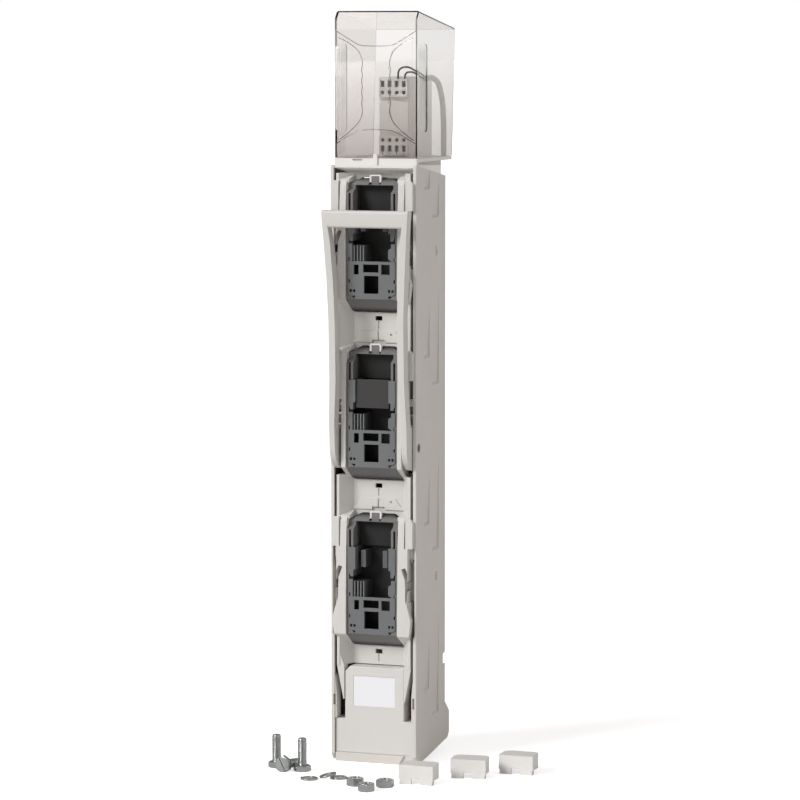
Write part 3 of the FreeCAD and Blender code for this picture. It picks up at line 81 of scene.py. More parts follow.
def lookAt(thing, place, target):
    thing.location = place
    thing.rotation_mode = "QUATERNION"
    thing.rotation_quaternion = (Vector(target) - Vector(place)).to_track_quat("-Z", "Y")


def newMaterial(name):
    material = bpy.data.materials.new(name)
    material.use_nodes = True
    tree = material.node_tree
    tree.nodes.clear()
    output = tree.nodes.new("ShaderNodeOutputMaterial")
    return material, tree, output


def newNode(tree, kind, values):
    # A node with its plain inputs set by name.
    node = tree.nodes.new(kind)
    for word, value in values.items():
        node.inputs[word].default_value = value
    return node


def mathNode(tree, operation, first, second, clamp=False):
    node = tree.nodes.new("ShaderNodeMath")
    node.operation = operation
    node.use_clamp = clamp
    for index, value in enumerate((first, second)):
        if isinstance(value, (int, float)):
            node.inputs[index].default_value = value
        else:
            tree.links.new(value, node.inputs[index])
    return node.outputs[0]


def placeOf(tree):
    return tree.nodes.new("ShaderNodeTexCoord").outputs["Object"]


def partsOf(tree, vector):
    split = tree.nodes.new("ShaderNodeSeparateXYZ")
    tree.links.new(vector, split.inputs[0])
    return split.outputs


def makeCamera():
    camera = sceneObject("camera", bpy.data.cameras.new("camera"))
    camera.data.lens = view["lens"]
    camera.data.sensor_width = view["sensor"]
    camera.data.clip_start = view["near"]
    camera.data.clip_end = view["far"]
    lookAt(camera, view["place"], view["target"])
    bpy.context.scene.camera = camera


def seenDirectly(tree):
    # One where the camera looks, straight or through clear plastic, and nothing for the light itself.
    path = tree.nodes.new("ShaderNodeLightPath").outputs
    throughClear = path["Is Transmission Ray"]
    return mathNode(tree, "MAXIMUM", path["Is Camera Ray"], throughClear), throughClear


def seenLate(tree, seen):
    # Light that left a clear edge after many turns inside it comes from the white too, but dimmed.
    turns = tree.nodes.new("ShaderNodeLightPath").outputs["Ray Depth"]
    late = mathNode(tree, "GREATER_THAN", turns, stage["lateTurns"])
    return mathNode(tree, "ADD", mathNode(tree, "MULTIPLY", late, stage["late"]), seen, True)


def makeFloor():
    low = cadBox[0].z
    reach = stage["reach"]
    back = reach * 3
    mesh = bpy.data.meshes.new("floor")
    corners = [(-reach, -reach, low), (reach, -reach, low), (reach, back, low), (-reach, back, low)]
    mesh.from_pydata(corners, [], [(0, 1, 2, 3)])
    floor = sceneObject("floor", mesh)
    material, tree, output = newMaterial("paleFloor")
    diffuse = newNode(tree, "ShaderNodeBsdfDiffuse", {"Color": (*stage["colour"], 1.0)})
    glow = newNode(tree, "ShaderNodeEmission", {"Color": white})
    seen, throughClear = seenDirectly(tree)
    level = mathNode(tree, "MULTIPLY", seen, stage["glow"])
    level = mathNode(tree, "SUBTRACT", level, mathNode(tree, "MULTIPLY", throughClear, stage["clearLoss"]))
    tree.links.new(level, glow.inputs["Strength"])
    both = tree.nodes.new("ShaderNodeAddShader")
    tree.links.new(diffuse.outputs[0], both.inputs[0])
    tree.links.new(glow.outputs[0], both.inputs[1])
    tree.links.new(both.outputs[0], output.inputs["Surface"])
    mesh.materials.append(material)


def makeLights():
    for light in lights:
        data = bpy.data.lights.new(light["name"], "SUN")
        data.angle = math.radians(light["angle"])
        data.energy = light["power"]
        lookAt(sceneObject(light["name"], data), light["place"], (0.0, 0.0, 0.0))
    world = bpy.data.worlds.new("studio")
    bpy.context.scene.world = world
    world.use_nodes = True
    tree = world.node_tree
    tree.nodes.clear()
    output = tree.nodes.new("ShaderNodeOutputWorld")
    soft = newNode(tree, "ShaderNodeBackground", {
        "Color": (*stage["sky"], 1.0), "Strength": stage["ambient"]})
    bright = newNode(tree, "ShaderNodeBackground", {"Color": white, "Strength": 1.0})
    mix = tree.nodes.new("ShaderNodeMixShader")
    tree.links.new(seenLate(tree, seenDirectly(tree)[0]), mix.inputs["Fac"])
    tree.links.new(soft.outputs[0], mix.inputs[1])
    tree.links.new(bright.outputs[0], mix.inputs[2])
    tree.links.new(mix.outputs[0], output.inputs["Surface"])


bpy.context.scene.view_settings.view_transform = "Standard"
makeCamera()
makeFloor()
makeLights()
print("camera, floor and lights made")


# Shared surface effects.
surfaceOutputs = [("Colour", "Color"), ("Roughness", "Float"), ("Height", "Float")]
colourOutput = [("Colour", "Color")]


def newGroup(name, taken, made):
    tree = bpy.data.node_groups.new(name, "ShaderNodeTree")
    for way, sockets in (("INPUT", taken), ("OUTPUT", made)):
        for word, kind in sockets:
            tree.interface.new_socket(name=word, in_out=way, socket_type="NodeSocket" + kind)
    return tree, tree.nodes.new("NodeGroupInput").outputs, tree.nodes.new("NodeGroupOutput").inputs


def noiseNode(tree, vector, scale, detail=2.0, rough=0.5):
    node = tree.nodes.new("ShaderNodeTexNoise")
    node.inputs["Detail"].default_value = detail
    node.inputs["Roughness"].default_value = rough
    tree.links.new(vector, node.inputs["Vector"])
    if isinstance(scale, (int, float)):
        node.inputs["Scale"].default_value = scale
    else:
        tree.links.new(scale, node.inputs["Scale"])
    return node.outputs["Fac"]


def mixColour(tree, share, first, second):
    node = tree.nodes.new("ShaderNodeMix")
    node.data_type = "RGBA"
    sockets = [node.inputs[0], node.inputs[6], node.inputs[7]]
    for socket, value in zip(sockets, (share, first, second)):
        if isinstance(value, (int, float)):
            socket.default_value = value
        elif isinstance(value, tuple):
            socket.default_value = (*value, 1.0)
        else:
            tree.links.new(value, socket)
    return node.outputs[2]


moulding = {"cloudScale": 26.0, "cloudFrom": 0.35, "speckScale": 420.0, "speckShare": 0.06,
            "dust": (0.62, 0.60, 0.56), "dustFrom": 0.3, "dustLift": 0.3, "roughMiddle": 0.5,
            "roughSpread": 0.18, "cloudHeight": 1.6}


def makeMouldedSurface():
    # Spark-eroded grain, faint flow clouding and a little dust on the upward faces.
    tree, given, result = newGroup("mouldedSurface", [
        ("Colour", "Color"), ("Shade", "Color"), ("Clouding", "Float"), ("Grain Scale", "Float"),
        ("Roughness", "Float"), ("Dust", "Float")], surfaceOutputs)
    size = moulding
    place = placeOf(tree)
    cloud = noiseNode(tree, place, size["cloudScale"], 3.0, 0.6)
    speck = noiseNode(tree, place, size["speckScale"])
    grain = noiseNode(tree, place, given["Grain Scale"], 1.0)
    share = mathNode(tree, "SUBTRACT", cloud, size["cloudFrom"], True)
    share = mathNode(tree, "MULTIPLY", share, given["Clouding"])
    share = mathNode(tree, "ADD", share, mathNode(tree, "MULTIPLY", speck, size["speckShare"]), True)
    colour = mixColour(tree, share, given["Colour"], given["Shade"])
    normal = tree.nodes.new("ShaderNodeNewGeometry").outputs["Normal"]
    upward = mathNode(tree, "SUBTRACT", partsOf(tree, normal)["Z"], size["dustFrom"], True)
    upward = mathNode(tree, "MULTIPLY", upward, given["Dust"])
    upward = mathNode(tree, "MULTIPLY", upward, mathNode(tree, "ADD", cloud, size["dustLift"]))
    tree.links.new(mixColour(tree, upward, colour, size["dust"]), result["Colour"])
    spread = mathNode(tree, "SUBTRACT", cloud, size["roughMiddle"])
    spread = mathNode(tree, "MULTIPLY", spread, size["roughSpread"])
    rough = mathNode(tree, "ADD", given["Roughness"], spread)
    tree.links.new(mathNode(tree, "ADD", rough, upward, True), result["Roughness"])
    swell = mathNode(tree, "MULTIPLY", cloud, size["cloudHeight"])
    tree.links.new(mathNode(tree, "ADD", grain, swell), result["Height"])
    return tree


plating = {"patchScale": 90.0, "patchMiddle": 0.4, "patchSpread": 0.35, "patchHeight": 0.5,
           "lineSpread": 0.08}


def makePlatedMetal():
    # Plated metal: clouded tint, fine rolling lines and dulled patches.
    tree, given, result = newGroup("platedMetal", [
        ("Colour", "Color"), ("Tint", "Color"), ("Patchiness", "Float"), ("Roughness", "Float"),
        ("Lines", "Vector")], surfaceOutputs)
    size = plating
    place = placeOf(tree)
    patch = noiseNode(tree, place, size["patchScale"], 4.0, 0.62)
    stretch = tree.nodes.new("ShaderNodeVectorMath")
    stretch.operation = "MULTIPLY"
    tree.links.new(place, stretch.inputs[0])
    tree.links.new(given["Lines"], stretch.inputs[1])
    line = noiseNode(tree, stretch.outputs[0], 1.0, 3.0)
    share = mathNode(tree, "MULTIPLY", patch, given["Patchiness"], True)
    tree.links.new(mixColour(tree, share, given["Colour"], given["Tint"]), result["Colour"])
    dull = mathNode(tree, "SUBTRACT", patch, size["patchMiddle"])
    rough = mathNode(tree, "ADD", given["Roughness"], mathNode(tree, "MULTIPLY", dull, size["patchSpread"]))
    rough = mathNode(tree, "ADD", rough, mathNode(tree, "MULTIPLY", line, size["lineSpread"]), True)
    tree.links.new(rough, result["Roughness"])
    swell = mathNode(tree, "MULTIPLY", patch, size["patchHeight"])
    tree.links.new(mathNode(tree, "ADD", line, swell), result["Height"])
    return tree


def makeDepthShade():
    # Shade gathers toward the back of the openings: one colour in front, another behind.
    tree, given, result = newGroup("depthShade", [
        ("Near", "Color"), ("Far", "Color"), ("Start", "Float"), ("Reach", "Float")], colourOutput)
    depth = mathNode(tree, "SUBTRACT", partsOf(tree, placeOf(tree))["Y"], given["Start"])
    depth = mathNode(tree, "DIVIDE", depth, given["Reach"], True)
    tree.links.new(mixColour(tree, depth, given["Near"], given["Far"]), result["Colour"])
    return tree


def makeGapShade():
    # The inner faces of the side walls lie in the dark of the gap beside the carriage.
    tree, given, result = newGroup("gapShade", [
        ("Colour", "Color"), ("Dark", "Color"), ("Inside", "Float"), ("Start", "Float"),
        ("Reach", "Float")], colourOutput)
    place = partsOf(tree, placeOf(tree))
    inner = mathNode(tree, "LESS_THAN", mathNode(tree, "ABSOLUTE", place["X"], 0.0), given["Inside"])
    deep = mathNode(tree, "SUBTRACT", place["Y"], given["Start"])
    deep = mathNode(tree, "DIVIDE", deep, given["Reach"], True)
    share = mathNode(tree, "MULTIPLY", inner, deep)
    tree.links.new(mixColour(tree, share, given["Colour"], given["Dark"]), result["Colour"])
    return tree


rubbingAndHighlight = {"patchScale": 160.0, "patchLift": 0.25, "sharpness": 7.0}


def makeEdgeWearAndHighlight():
    # Edges lighter, part rubbed wear and part painted highlight: where the rounded normal leaves the face's
    # own.
    tree, given, result = newGroup("edgeWear", [
        ("Colour", "Color"), ("Worn", "Color"), ("Rounded", "Vector"), ("Amount", "Float")], colourOutput)
    close = tree.nodes.new("ShaderNodeVectorMath")
    close.operation = "DOT_PRODUCT"
    tree.links.new(tree.nodes.new("ShaderNodeNewGeometry").outputs["Normal"], close.inputs[0])
    tree.links.new(given["Rounded"], close.inputs[1])
    patch = noiseNode(tree, placeOf(tree), rubbingAndHighlight["patchScale"], 3.0)
    patch = mathNode(tree, "ADD", patch, rubbingAndHighlight["patchLift"], True)
    away = mathNode(tree, "SUBTRACT", 1.0, close.outputs["Value"])
    away = mathNode(tree, "MULTIPLY", away, rubbingAndHighlight["sharpness"], True)
    share = mathNode(tree, "MULTIPLY", mathNode(tree, "MULTIPLY", away, patch), given["Amount"])
    tree.links.new(mixColour(tree, share, given["Colour"], given["Worn"]), result["Colour"])
    return tree


gripChannel = {"side": 0.0445, "Y": {"middle": -0.0695, "half": 0.0150, "soft": 0.004},
               "Z": {"middle": 0.357, "half": 0.050, "soft": 0.012}}


def makeGripZone():
    # The greyed grip channel down both side walls of the cover, soft at its ends.
    tree, given, result = newGroup("gripZone", [], [("Share", "Float")])
    place = partsOf(tree, placeOf(tree))
    share = mathNode(tree, "GREATER_THAN", mathNode(tree, "ABSOLUTE", place["X"], 0.0), gripChannel["side"])
    for word in ("Y", "Z"):
        zone = gripChannel[word]
        away = mathNode(tree, "ABSOLUTE", mathNode(tree, "SUBTRACT", place[word], zone["middle"]), 0.0)
        edge = mathNode(tree, "DIVIDE", mathNode(tree, "SUBTRACT", zone["half"], away), zone["soft"], True)
        share = mathNode(tree, "MULTIPLY", share, edge)
    tree.links.new(share, result["Share"])
    return tree


gripZone = makeGripZone()
gapShade = makeGapShade()
edgeWear = makeEdgeWearAndHighlight()
mouldedSurface = makeMouldedSurface()
platedMetal = makePlatedMetal()
depthShade = makeDepthShade()
print("surface effects made")


def placeGroup(tree, group, values):
    node = tree.nodes.new("ShaderNodeGroup")
    node.node_tree = group
    for word, value in values.items():
        socket = node.inputs[word]
        if isinstance(value, tuple) and socket.type == "RGBA":
            socket.default_value = (*value, 1.0)
        else:
            socket.default_value = value
    return node


def roundedNormal(tree, radius):
    # The small edge radius that every moulded or turned part has.
    soft = tree.nodes.new("ShaderNodeBevel")
    soft.samples = 4
    soft.inputs["Radius"].default_value = radius
    return soft.outputs["Normal"]


def reliefFrom(tree, height, strength, distance, edge=0):
    relief = newNode(tree, "ShaderNodeBump", {"Strength": strength, "Distance": distance})
    tree.links.new(height, relief.inputs["Height"])
    if edge:
        tree.links.new(roundedNormal(tree, edge), relief.inputs["Normal"])
    return relief.outputs["Normal"]


def newShader(tree, sockets, settings):
    shader = newNode(tree, "ShaderNodeBsdfPrincipled", settings)
    for word, socket in sockets.items():
        tree.links.new(socket, shader.inputs[word])
    return shader.outputs[0]


# The object's finishes.
# Edge lightening for the plastics: part rubbed wear, part painted highlight along the edges.
paleWearAndHighlight = {"Worn": (0.88, 0.87, 0.85), "Amount": 0.45}
hardWearAndHighlight = {"Worn": (0.95, 0.94, 0.92), "Amount": 0.85}
blackWearAndHighlight = {"Worn": (0.42, 0.42, 0.42), "Amount": 0.60}
plastics = {
    "casing": {"colour": (0.69, 0.655, 0.62), "shade": (0.58, 0.545, 0.51), "clouding": 0.35,
               "grain": 1500.0, "roughness": 0.50, "dust": 0.15, "bump": 0.10, "edge": 0.0008,
               "wearAndHighlight": paleWearAndHighlight},
    "panel": {"colour": (0.70, 0.685, 0.655), "shade": (0.60, 0.585, 0.555), "clouding": 0.30,
              "grain": 1700.0, "roughness": 0.46, "dust": 0.10, "bump": 0.08, "edge": 0.0006,
              "wearAndHighlight": paleWearAndHighlight},
    "carriage": {"colour": (0.68, 0.665, 0.64), "shade": (0.58, 0.565, 0.54), "clouding": 0.30,
                 "grain": 1700.0, "roughness": 0.46, "dust": 0.12, "bump": 0.08, "edge": 0.0007,
                 "wearAndHighlight": hardWearAndHighlight},
    "handle": {"colour": (0.665, 0.65, 0.62), "shade": (0.58, 0.565, 0.54), "clouding": 0.25,
               "grain": 1400.0, "roughness": 0.42, "dust": 0.10, "bump": 0.10, "edge": 0.0010,
               "wearAndHighlight": paleWearAndHighlight},
    # The ledge's hollow glows with painted light.
    "ledge": {"colour": (0.80, 0.785, 0.76), "shade": (0.70, 0.685, 0.66), "clouding": 0.25,
              "grain": 1900.0, "roughness": 0.40, "dust": 0.15, "bump": 0.05, "edge": 0.0006,
              "wearAndHighlight": paleWearAndHighlight, "paintedGlow": {"behind": -0.094, "below": 0.2715, "strength": 0.22}},
    "black": {"colour": (0.19, 0.185, 0.18), "shade": (0.050, 0.050, 0.050), "clouding": 0.35,
              "grain": 2300.0, "roughness": 0.52, "dust": 0.04, "bump": 0.10, "edge": 0.0005,
              "wearAndHighlight": blackWearAndHighlight, "deep": {"Far": (0.004, 0.004, 0.004), "Start": -0.0905, "Reach": 0.0065}},
    "plate": {"colour": (0.050, 0.048, 0.048), "shade": (0.035, 0.034, 0.034), "clouding": 0.40,
              "grain": 2600.0, "roughness": 0.34, "dust": 0.03, "bump": 0.08, "edge": 0.0004,
              "wearAndHighlight": blackWearAndHighlight},
    "grid": {"colour": (0.158, 0.163, 0.168), "shade": (0.20, 0.205, 0.21), "clouding": 0.35,
             "grain": 2300.0, "roughness": 0.42, "dust": 0.05, "bump": 0.10, "edge": 0.0004,
             "wearAndHighlight": blackWearAndHighlight, "deep": {"Far": (0.055, 0.056, 0.058), "Start": -0.1005, "Reach": 0.012}},
    "catch": {"colour": (0.80, 0.79, 0.76), "shade": (0.72, 0.71, 0.68), "clouding": 0.20,
              "grain": 2300.0, "roughness": 0.35, "dust": 0.05, "bump": 0.04, "edge": 0.0003,
              "wearAndHighlight": paleWearAndHighlight},
    # The module and the terminals are made lighter than their plastic to make up for the shade of the cover
    # over them: painted light.
    "module": {"colour": (0.86, 0.85, 0.83), "shade": (0.80, 0.79, 0.77), "clouding": 0.20,
               "grain": 2300.0, "roughness": 0.36, "dust": 0.12, "bump": 0.04, "edge": 0.0005,
               "wearAndHighlight": paleWearAndHighlight},
    "terminal": {"colour": (0.78, 0.78, 0.76), "shade": (0.72, 0.72, 0.70), "clouding": 0.25,
                 "grain": 2300.0, "roughness": 0.36, "dust": 0.10, "bump": 0.05, "edge": 0.0003,
                 "wearAndHighlight": paleWearAndHighlight},
    "caps": {"colour": (0.80, 0.785, 0.76), "shade": (0.64, 0.625, 0.60), "clouding": 0.25,
             "grain": 1700.0, "roughness": 0.42, "dust": 0.10, "bump": 0.06, "edge": 0.0005,
             "wearAndHighlight": paleWearAndHighlight},
    "cable": {"colour": (0.50, 0.495, 0.475), "shade": (0.42, 0.415, 0.395), "clouding": 0.30,
              "grain": 900.0, "roughness": 0.45, "dust": 0.05, "bump": 0.05, "edge": 0},
    "wire": {"colour": (0.018, 0.018, 0.019), "shade": (0.035, 0.035, 0.036), "clouding": 0.40,
             "grain": 1200.0, "roughness": 0.34, "dust": 0.02, "bump": 0.03, "edge": 0},
}
plastics["wall"] = {
    **plastics["casing"],
    "gap": {"Dark": (0.045, 0.043, 0.040), "Inside": 0.047, "Start": -0.0965, "Reach": 0.003}}
metals = {
    "darkSteel": {"colour": (0.20, 0.195, 0.19), "tint": (0.10, 0.10, 0.10), "patchiness": 0.60,
                  "roughness": 0.38, "lines": (700.0, 60.0, 60.0), "bump": 0.06, "edge": 0.0002,
                  "metallic": 1.0},
    "steel": {"colour": (0.56, 0.585, 0.57), "tint": (0.30, 0.32, 0.31), "patchiness": 0.70,
              "roughness": 0.24, "lines": (700.0, 60.0, 60.0), "bump": 0.06, "edge": 0.0004,
              "metallic": 1.0},
    "copper": {"colour": (0.74, 0.72, 0.68), "tint": (0.60, 0.52, 0.44), "patchiness": 0.50,
               "roughness": 0.24, "lines": (60.0, 60.0, 700.0), "bump": 0.05, "edge": 0.0004,
               "metallic": 1.0},
    "blade": {"colour": (0.76, 0.76, 0.75), "tint": (0.62, 0.60, 0.56), "patchiness": 0.40,
              "roughness": 0.20, "lines": (60.0, 800.0, 60.0), "bump": 0.04, "edge": 0.0004,
              "metallic": 1.0},
    "zinc": {"colour": (0.80, 0.79, 0.77), "tint": (0.66, 0.65, 0.63), "patchiness": 0.30,
             "roughness": 0.45, "lines": (60.0, 60.0, 60.0), "bump": 0.03, "edge": 0.0003,
             "metallic": 0.35},
}
grainDepth = {"plastic": 0.0004, "metal": 0.0003}
finishes = {}


def makePlastic(name, look):
    material, tree, output = newMaterial(name + "Plastic")
    effect = placeGroup(tree, mouldedSurface, {
        "Colour": look["colour"], "Shade": look["shade"], "Clouding": look["clouding"],
        "Grain Scale": look["grain"], "Roughness": look["roughness"], "Dust": look["dust"]})
    if "deep" in look:
        depth = placeGroup(tree, depthShade, {"Near": look["colour"], **look["deep"]})
        tree.links.new(depth.outputs["Colour"], effect.inputs["Colour"])
    colour = effect.outputs["Colour"]
    # Lighter edges: part wear, part painted highlight.
    if "wearAndHighlight" in look:
        wearAndHighlight = placeGroup(tree, edgeWear, look["wearAndHighlight"])
        tree.links.new(colour, wearAndHighlight.inputs["Colour"])
        tree.links.new(roundedNormal(tree, look["edge"]), wearAndHighlight.inputs["Rounded"])
        colour = wearAndHighlight.outputs["Colour"]
    if "gap" in look:
        shaded = placeGroup(tree, gapShade, look["gap"])
        tree.links.new(colour, shaded.inputs["Colour"])
        colour = shaded.outputs["Colour"]
    relief = reliefFrom(tree, effect.outputs["Height"], look["bump"], grainDepth["plastic"], look["edge"])
    sockets = {"Base Color": colour, "Roughness": effect.outputs["Roughness"], "Normal": relief}
    if "paintedGlow" in look:
        # A shallow hollow behind the face lies in shade; it glows with painted light so that it stays as
        # light as the wall around it.
        hollow = look["paintedGlow"]
        place = partsOf(tree, placeOf(tree))
        behind = mathNode(tree, "GREATER_THAN", place["Y"], hollow["behind"])
        below = mathNode(tree, "LESS_THAN", place["Z"], hollow["below"])
        share = mathNode(tree, "MULTIPLY", mathNode(tree, "MULTIPLY", behind, below), hollow["strength"])
        sockets.update({"Emission Color": colour, "Emission Strength": share})
    shader = newShader(tree, sockets, {"IOR": 1.5, "Specular IOR Level": 0.45})
    tree.links.new(shader, output.inputs["Surface"])
    return material


def makeMetal(name, look):
    material, tree, output = newMaterial(name + "Metal")
    effect = placeGroup(tree, platedMetal, {
        "Colour": look["colour"], "Tint": look["tint"], "Patchiness": look["patchiness"],
        "Roughness": look["roughness"], "Lines": look["lines"]})
    relief = reliefFrom(tree, effect.outputs["Height"], look["bump"], grainDepth["metal"], look["edge"])
    shader = newShader(tree, {
        "Base Color": effect.outputs["Colour"], "Roughness": effect.outputs["Roughness"],
        "Normal": relief}, {"Metallic": look["metallic"]})
    tree.links.new(shader, output.inputs["Surface"])
    return material


# low is the colour that the lower part of each cover takes: painted shade.
clears = {
    "clear": {"colour": (0.95, 0.93, 0.915), "grip": (0.74, 0.735, 0.70), "low": (0.64, 0.61, 0.59),
              "absorb": (0.50, 0.46, 0.43), "density": 9.0, "marks": 0.25, "turns": 5.0,
              "leaving": (0.76, 0.74, 0.73)},
    # clearEdge is tinted far darker than the cover: painted shade for the dark lines that the relief's edges
    # show.
    "clearEdge": {"colour": (0.42, 0.40, 0.39), "grip": (0.42, 0.40, 0.39), "low": (0.38, 0.36, 0.35),
                  "absorb": (0.52, 0.48, 0.46), "density": 200.0, "marks": 0.35, "turns": 5.0,
                  "leaving": (0.5, 0.48, 0.47)},
}
clearShared = {"lowFrom": 0.395, "lowOver": 0.11, "markScale": 140.0, "markFrom": 0.55, "hazeScale": 18.0,
               "roughness": 0.012, "hazeRough": 0.01, "bump": 0.06, "distance": 0.0003}


def makeClear(name, look):
    # Clear polycarbonate: faint handling marks, and a tint that grows with the way through it.
    material, tree, output = newMaterial(name + "Polycarbonate")
    size = clearShared
    place = placeOf(tree)
    marks = noiseNode(tree, place, size["markScale"], 5.0, 0.7)
    haze = noiseNode(tree, place, size["hazeScale"])
    grip = placeGroup(tree, gripZone, {})
    # Lower on the cover the colour turns to the low one: painted shade.
    low = mathNode(tree, "SUBTRACT", size["lowFrom"], partsOf(tree, place)["Z"])
    low = mathNode(tree, "DIVIDE", low, size["lowOver"], True)
    tint = mixColour(tree, low, look["colour"], look["low"])
    rough = mathNode(tree, "SUBTRACT", marks, size["markFrom"], True)
    rough = mathNode(tree, "MULTIPLY", rough, look["marks"])
    rough = mathNode(tree, "ADD", rough, size["roughness"])
    rough = mathNode(tree, "ADD", rough, mathNode(tree, "MULTIPLY", haze, size["hazeRough"]))
    shader = newShader(tree, {
        "Base Color": mixColour(tree, grip.outputs["Share"], tint, look["grip"]), "Roughness": rough,
        "Normal": reliefFrom(tree, haze, size["bump"], size["distance"])},
        {"Transmission Weight": 1.0, "IOR": 1.45})
    absorb = newNode(tree, "ShaderNodeVolumeAbsorption", {
        "Color": (*look["absorb"], 1.0), "Density": look["density"]})
    # Light caught in an edge leaves it again, dimmed, in place of dying there.
    path = tree.nodes.new("ShaderNodeLightPath")
    caught = mathNode(tree, "GREATER_THAN", path.outputs["Ray Depth"], look["turns"])
    leaving = newNode(tree, "ShaderNodeBsdfTransparent", {"Color": (*look["leaving"], 1.0)})
    either = tree.nodes.new("ShaderNodeMixShader")
    tree.links.new(caught, either.inputs["Fac"])
    tree.links.new(shader, either.inputs[1])
    tree.links.new(leaving.outputs[0], either.inputs[2])
    tree.links.new(either.outputs[0], output.inputs["Surface"])
    tree.links.new(absorb.outputs[0], output.inputs["Volume"])
    return material


porcelain = {"glaze": (0.80, 0.77, 0.70), "shade": (0.74, 0.70, 0.62), "speck": (0.30, 0.26, 0.20),
             "speckScale": 900.0, "speckFrom": 0.76, "cloudScale": 40.0, "roughness": 0.3,
             "cloudRough": 0.2, "bump": 0.1, "distance": 0.0004}


def makePorcelain():
    # Glazed ceramic with a few dark specks.
    material, tree, output = newMaterial("glazedPorcelain")
    look = porcelain
    place = placeOf(tree)
    speck = noiseNode(tree, place, look["speckScale"], 0.0)
    speck = mathNode(tree, "GREATER_THAN", speck, look["speckFrom"])
    cloud = noiseNode(tree, place, look["cloudScale"], 3.0)
    glaze = mixColour(tree, cloud, look["glaze"], look["shade"])
    rough = mathNode(tree, "MULTIPLY", cloud, look["cloudRough"])
    shader = newShader(tree, {
        "Base Color": mixColour(tree, speck, glaze, look["speck"]),
        "Roughness": mathNode(tree, "ADD", rough, look["roughness"]),
        "Normal": reliefFrom(tree, cloud, look["bump"], look["distance"])},
        {"Coat Weight": 0.6, "Coat Roughness": 0.12})
    tree.links.new(shader, output.inputs["Surface"])
    return material


card = {"colour": (0.90, 0.90, 0.93), "shade": (0.83, 0.83, 0.86), "fibreScale": 700.0,
        "stretch": (1.0, 1.0, 4.0), "roughness": 0.35, "fibreRough": 0.25, "bump": 0.06, "distance": 0.0002}


def makeCard():
    # Coated label card with faint paper fibres.
    material, tree, output = newMaterial("labelCard")
    look = card
    stretch = newNode(tree, "ShaderNodeMapping", {"Scale": look["stretch"]})
    tree.links.new(placeOf(tree), stretch.inputs["Vector"])
    fibre = noiseNode(tree, stretch.outputs["Vector"], look["fibreScale"], 4.0, 0.7)
    rough = mathNode(tree, "MULTIPLY", fibre, look["fibreRough"])
    shader = newShader(tree, {
        "Base Color": mixColour(tree, fibre, look["colour"], look["shade"]),
        "Roughness": mathNode(tree, "ADD", rough, look["roughness"]),
        "Normal": reliefFrom(tree, fibre, look["bump"], look["distance"])}, {})
    tree.links.new(shader, output.inputs["Surface"])
    return material


for word, look in plastics.items():
    finishes[word] = makePlastic(word, look)
for word, look in metals.items():
    finishes[word] = makeMetal(word, look)
for word, look in clears.items():
    finishes[word] = makeClear(word, look)
finishes["porcelain"] = makePorcelain()
finishes["card"] = makeCard()
slotOf = {piece["node"]: piece["material_slot"] for piece in frame["record"]["subparts"]}
# The drive racks and sectors take the dark steel so that they read as the dark of the gaps they sit in:
# painted shade.
slotOf.update({
    "carrier_plate_2": "plate", "pivot_pins": "darkSteel", "drive_racks": "darkSteel",
    "drive_sectors": "darkSteel", "side_wall_left": "wall", "side_wall_right": "wall"})


def dressNode(name):
    mesh = nodes[name].data
    mesh.materials.clear()
    mesh.materials.append(finishes[slotOf[name]])


for name in nodes:
    dressNode(name)
print("finishes made:", len(finishes))


# Small turned and moulded pieces, each built once as a mesh round its own axis, +Z out of its seat.
def closedSkin(bm, rings, count, loop=False):
    # Rings of corners joined to a skin. A ring is a radius and a height, each a number or a function
    # of the angle.
    rows = []
    for radius, height in rings:
        row = []
        for index in range(count):
            angle = 2 * math.pi * index / count
            reach = radius(angle) if callable(radius) else radius
            level = height(angle) if callable(height) else height
            row.append(bm.verts.new((reach * math.cos(angle), reach * math.sin(angle), level)))
        rows.append(row)
    pairs = list(zip(rows, rows[1:] + rows[:1])) if loop else list(zip(rows, rows[1:]))
    for low, high in pairs:
        for index in range(count):
            after = (index + 1) % count
            bm.faces.new((low[index], low[after], high[after], high[index]))
    if not loop:
        bm.faces.new(list(reversed(rows[0])))
        bm.faces.new(rows[-1])


def meshFrom(name, build):
    bm = bmesh.new()
    build(bm)
    bmesh.ops.recalc_face_normals(bm, faces=bm.faces)
    mesh = bpy.data.meshes.new(name)
    bm.to_mesh(mesh)
    bm.free()
    return mesh


def settledMesh(piece):
    # The mesh that the piece's modifiers give.
    bpy.context.view_layer.update()
    graph = bpy.context.evaluated_depsgraph_get()
    return bpy.data.meshes.new_from_object(piece.evaluated_get(graph))


def cutOut(mesh, cutter):
    # A slot or recess cut by an exact boolean.
    piece = sceneObject(mesh.name + "Blank", mesh)
    tool = sceneObject(mesh.name + "Tool", cutter)
    cut = piece.modifiers.new("cut", "BOOLEAN")
    cut.operation = "DIFFERENCE"
    cut.solver = "EXACT"
    cut.object = tool
    result = settledMesh(piece)
    result.name = mesh.name + "Cut"
    for spare in (piece, tool):
        bpy.data.objects.remove(spare)
    return result


def boxCorners(bm, low, high, narrow=1.0):
    # A tapering tool: its foot is narrower than its mouth, as a punched recess is.
    corners = []
    for z, share in ((low[2], narrow), (high[2], 1.0)):
        for x, y in ((low[0], low[1]), (high[0], low[1]), (high[0], high[1]), (low[0], high[1])):
            corners.append(bm.verts.new((x * share, y * share, z)))
    bm.faces.new((corners[3], corners[2], corners[1], corners[0]))
    bm.faces.new(corners[4:])
    for index in range(4):
        after = (index + 1) % 4
        bm.faces.new((corners[index], corners[after], corners[after + 4], corners[index + 4]))


def hexRadius(across):
    def radius(angle):
        turn = (angle + math.pi / 6) % (math.pi / 3) - math.pi / 6
        return across / 2 / math.cos(turn)
    return radius


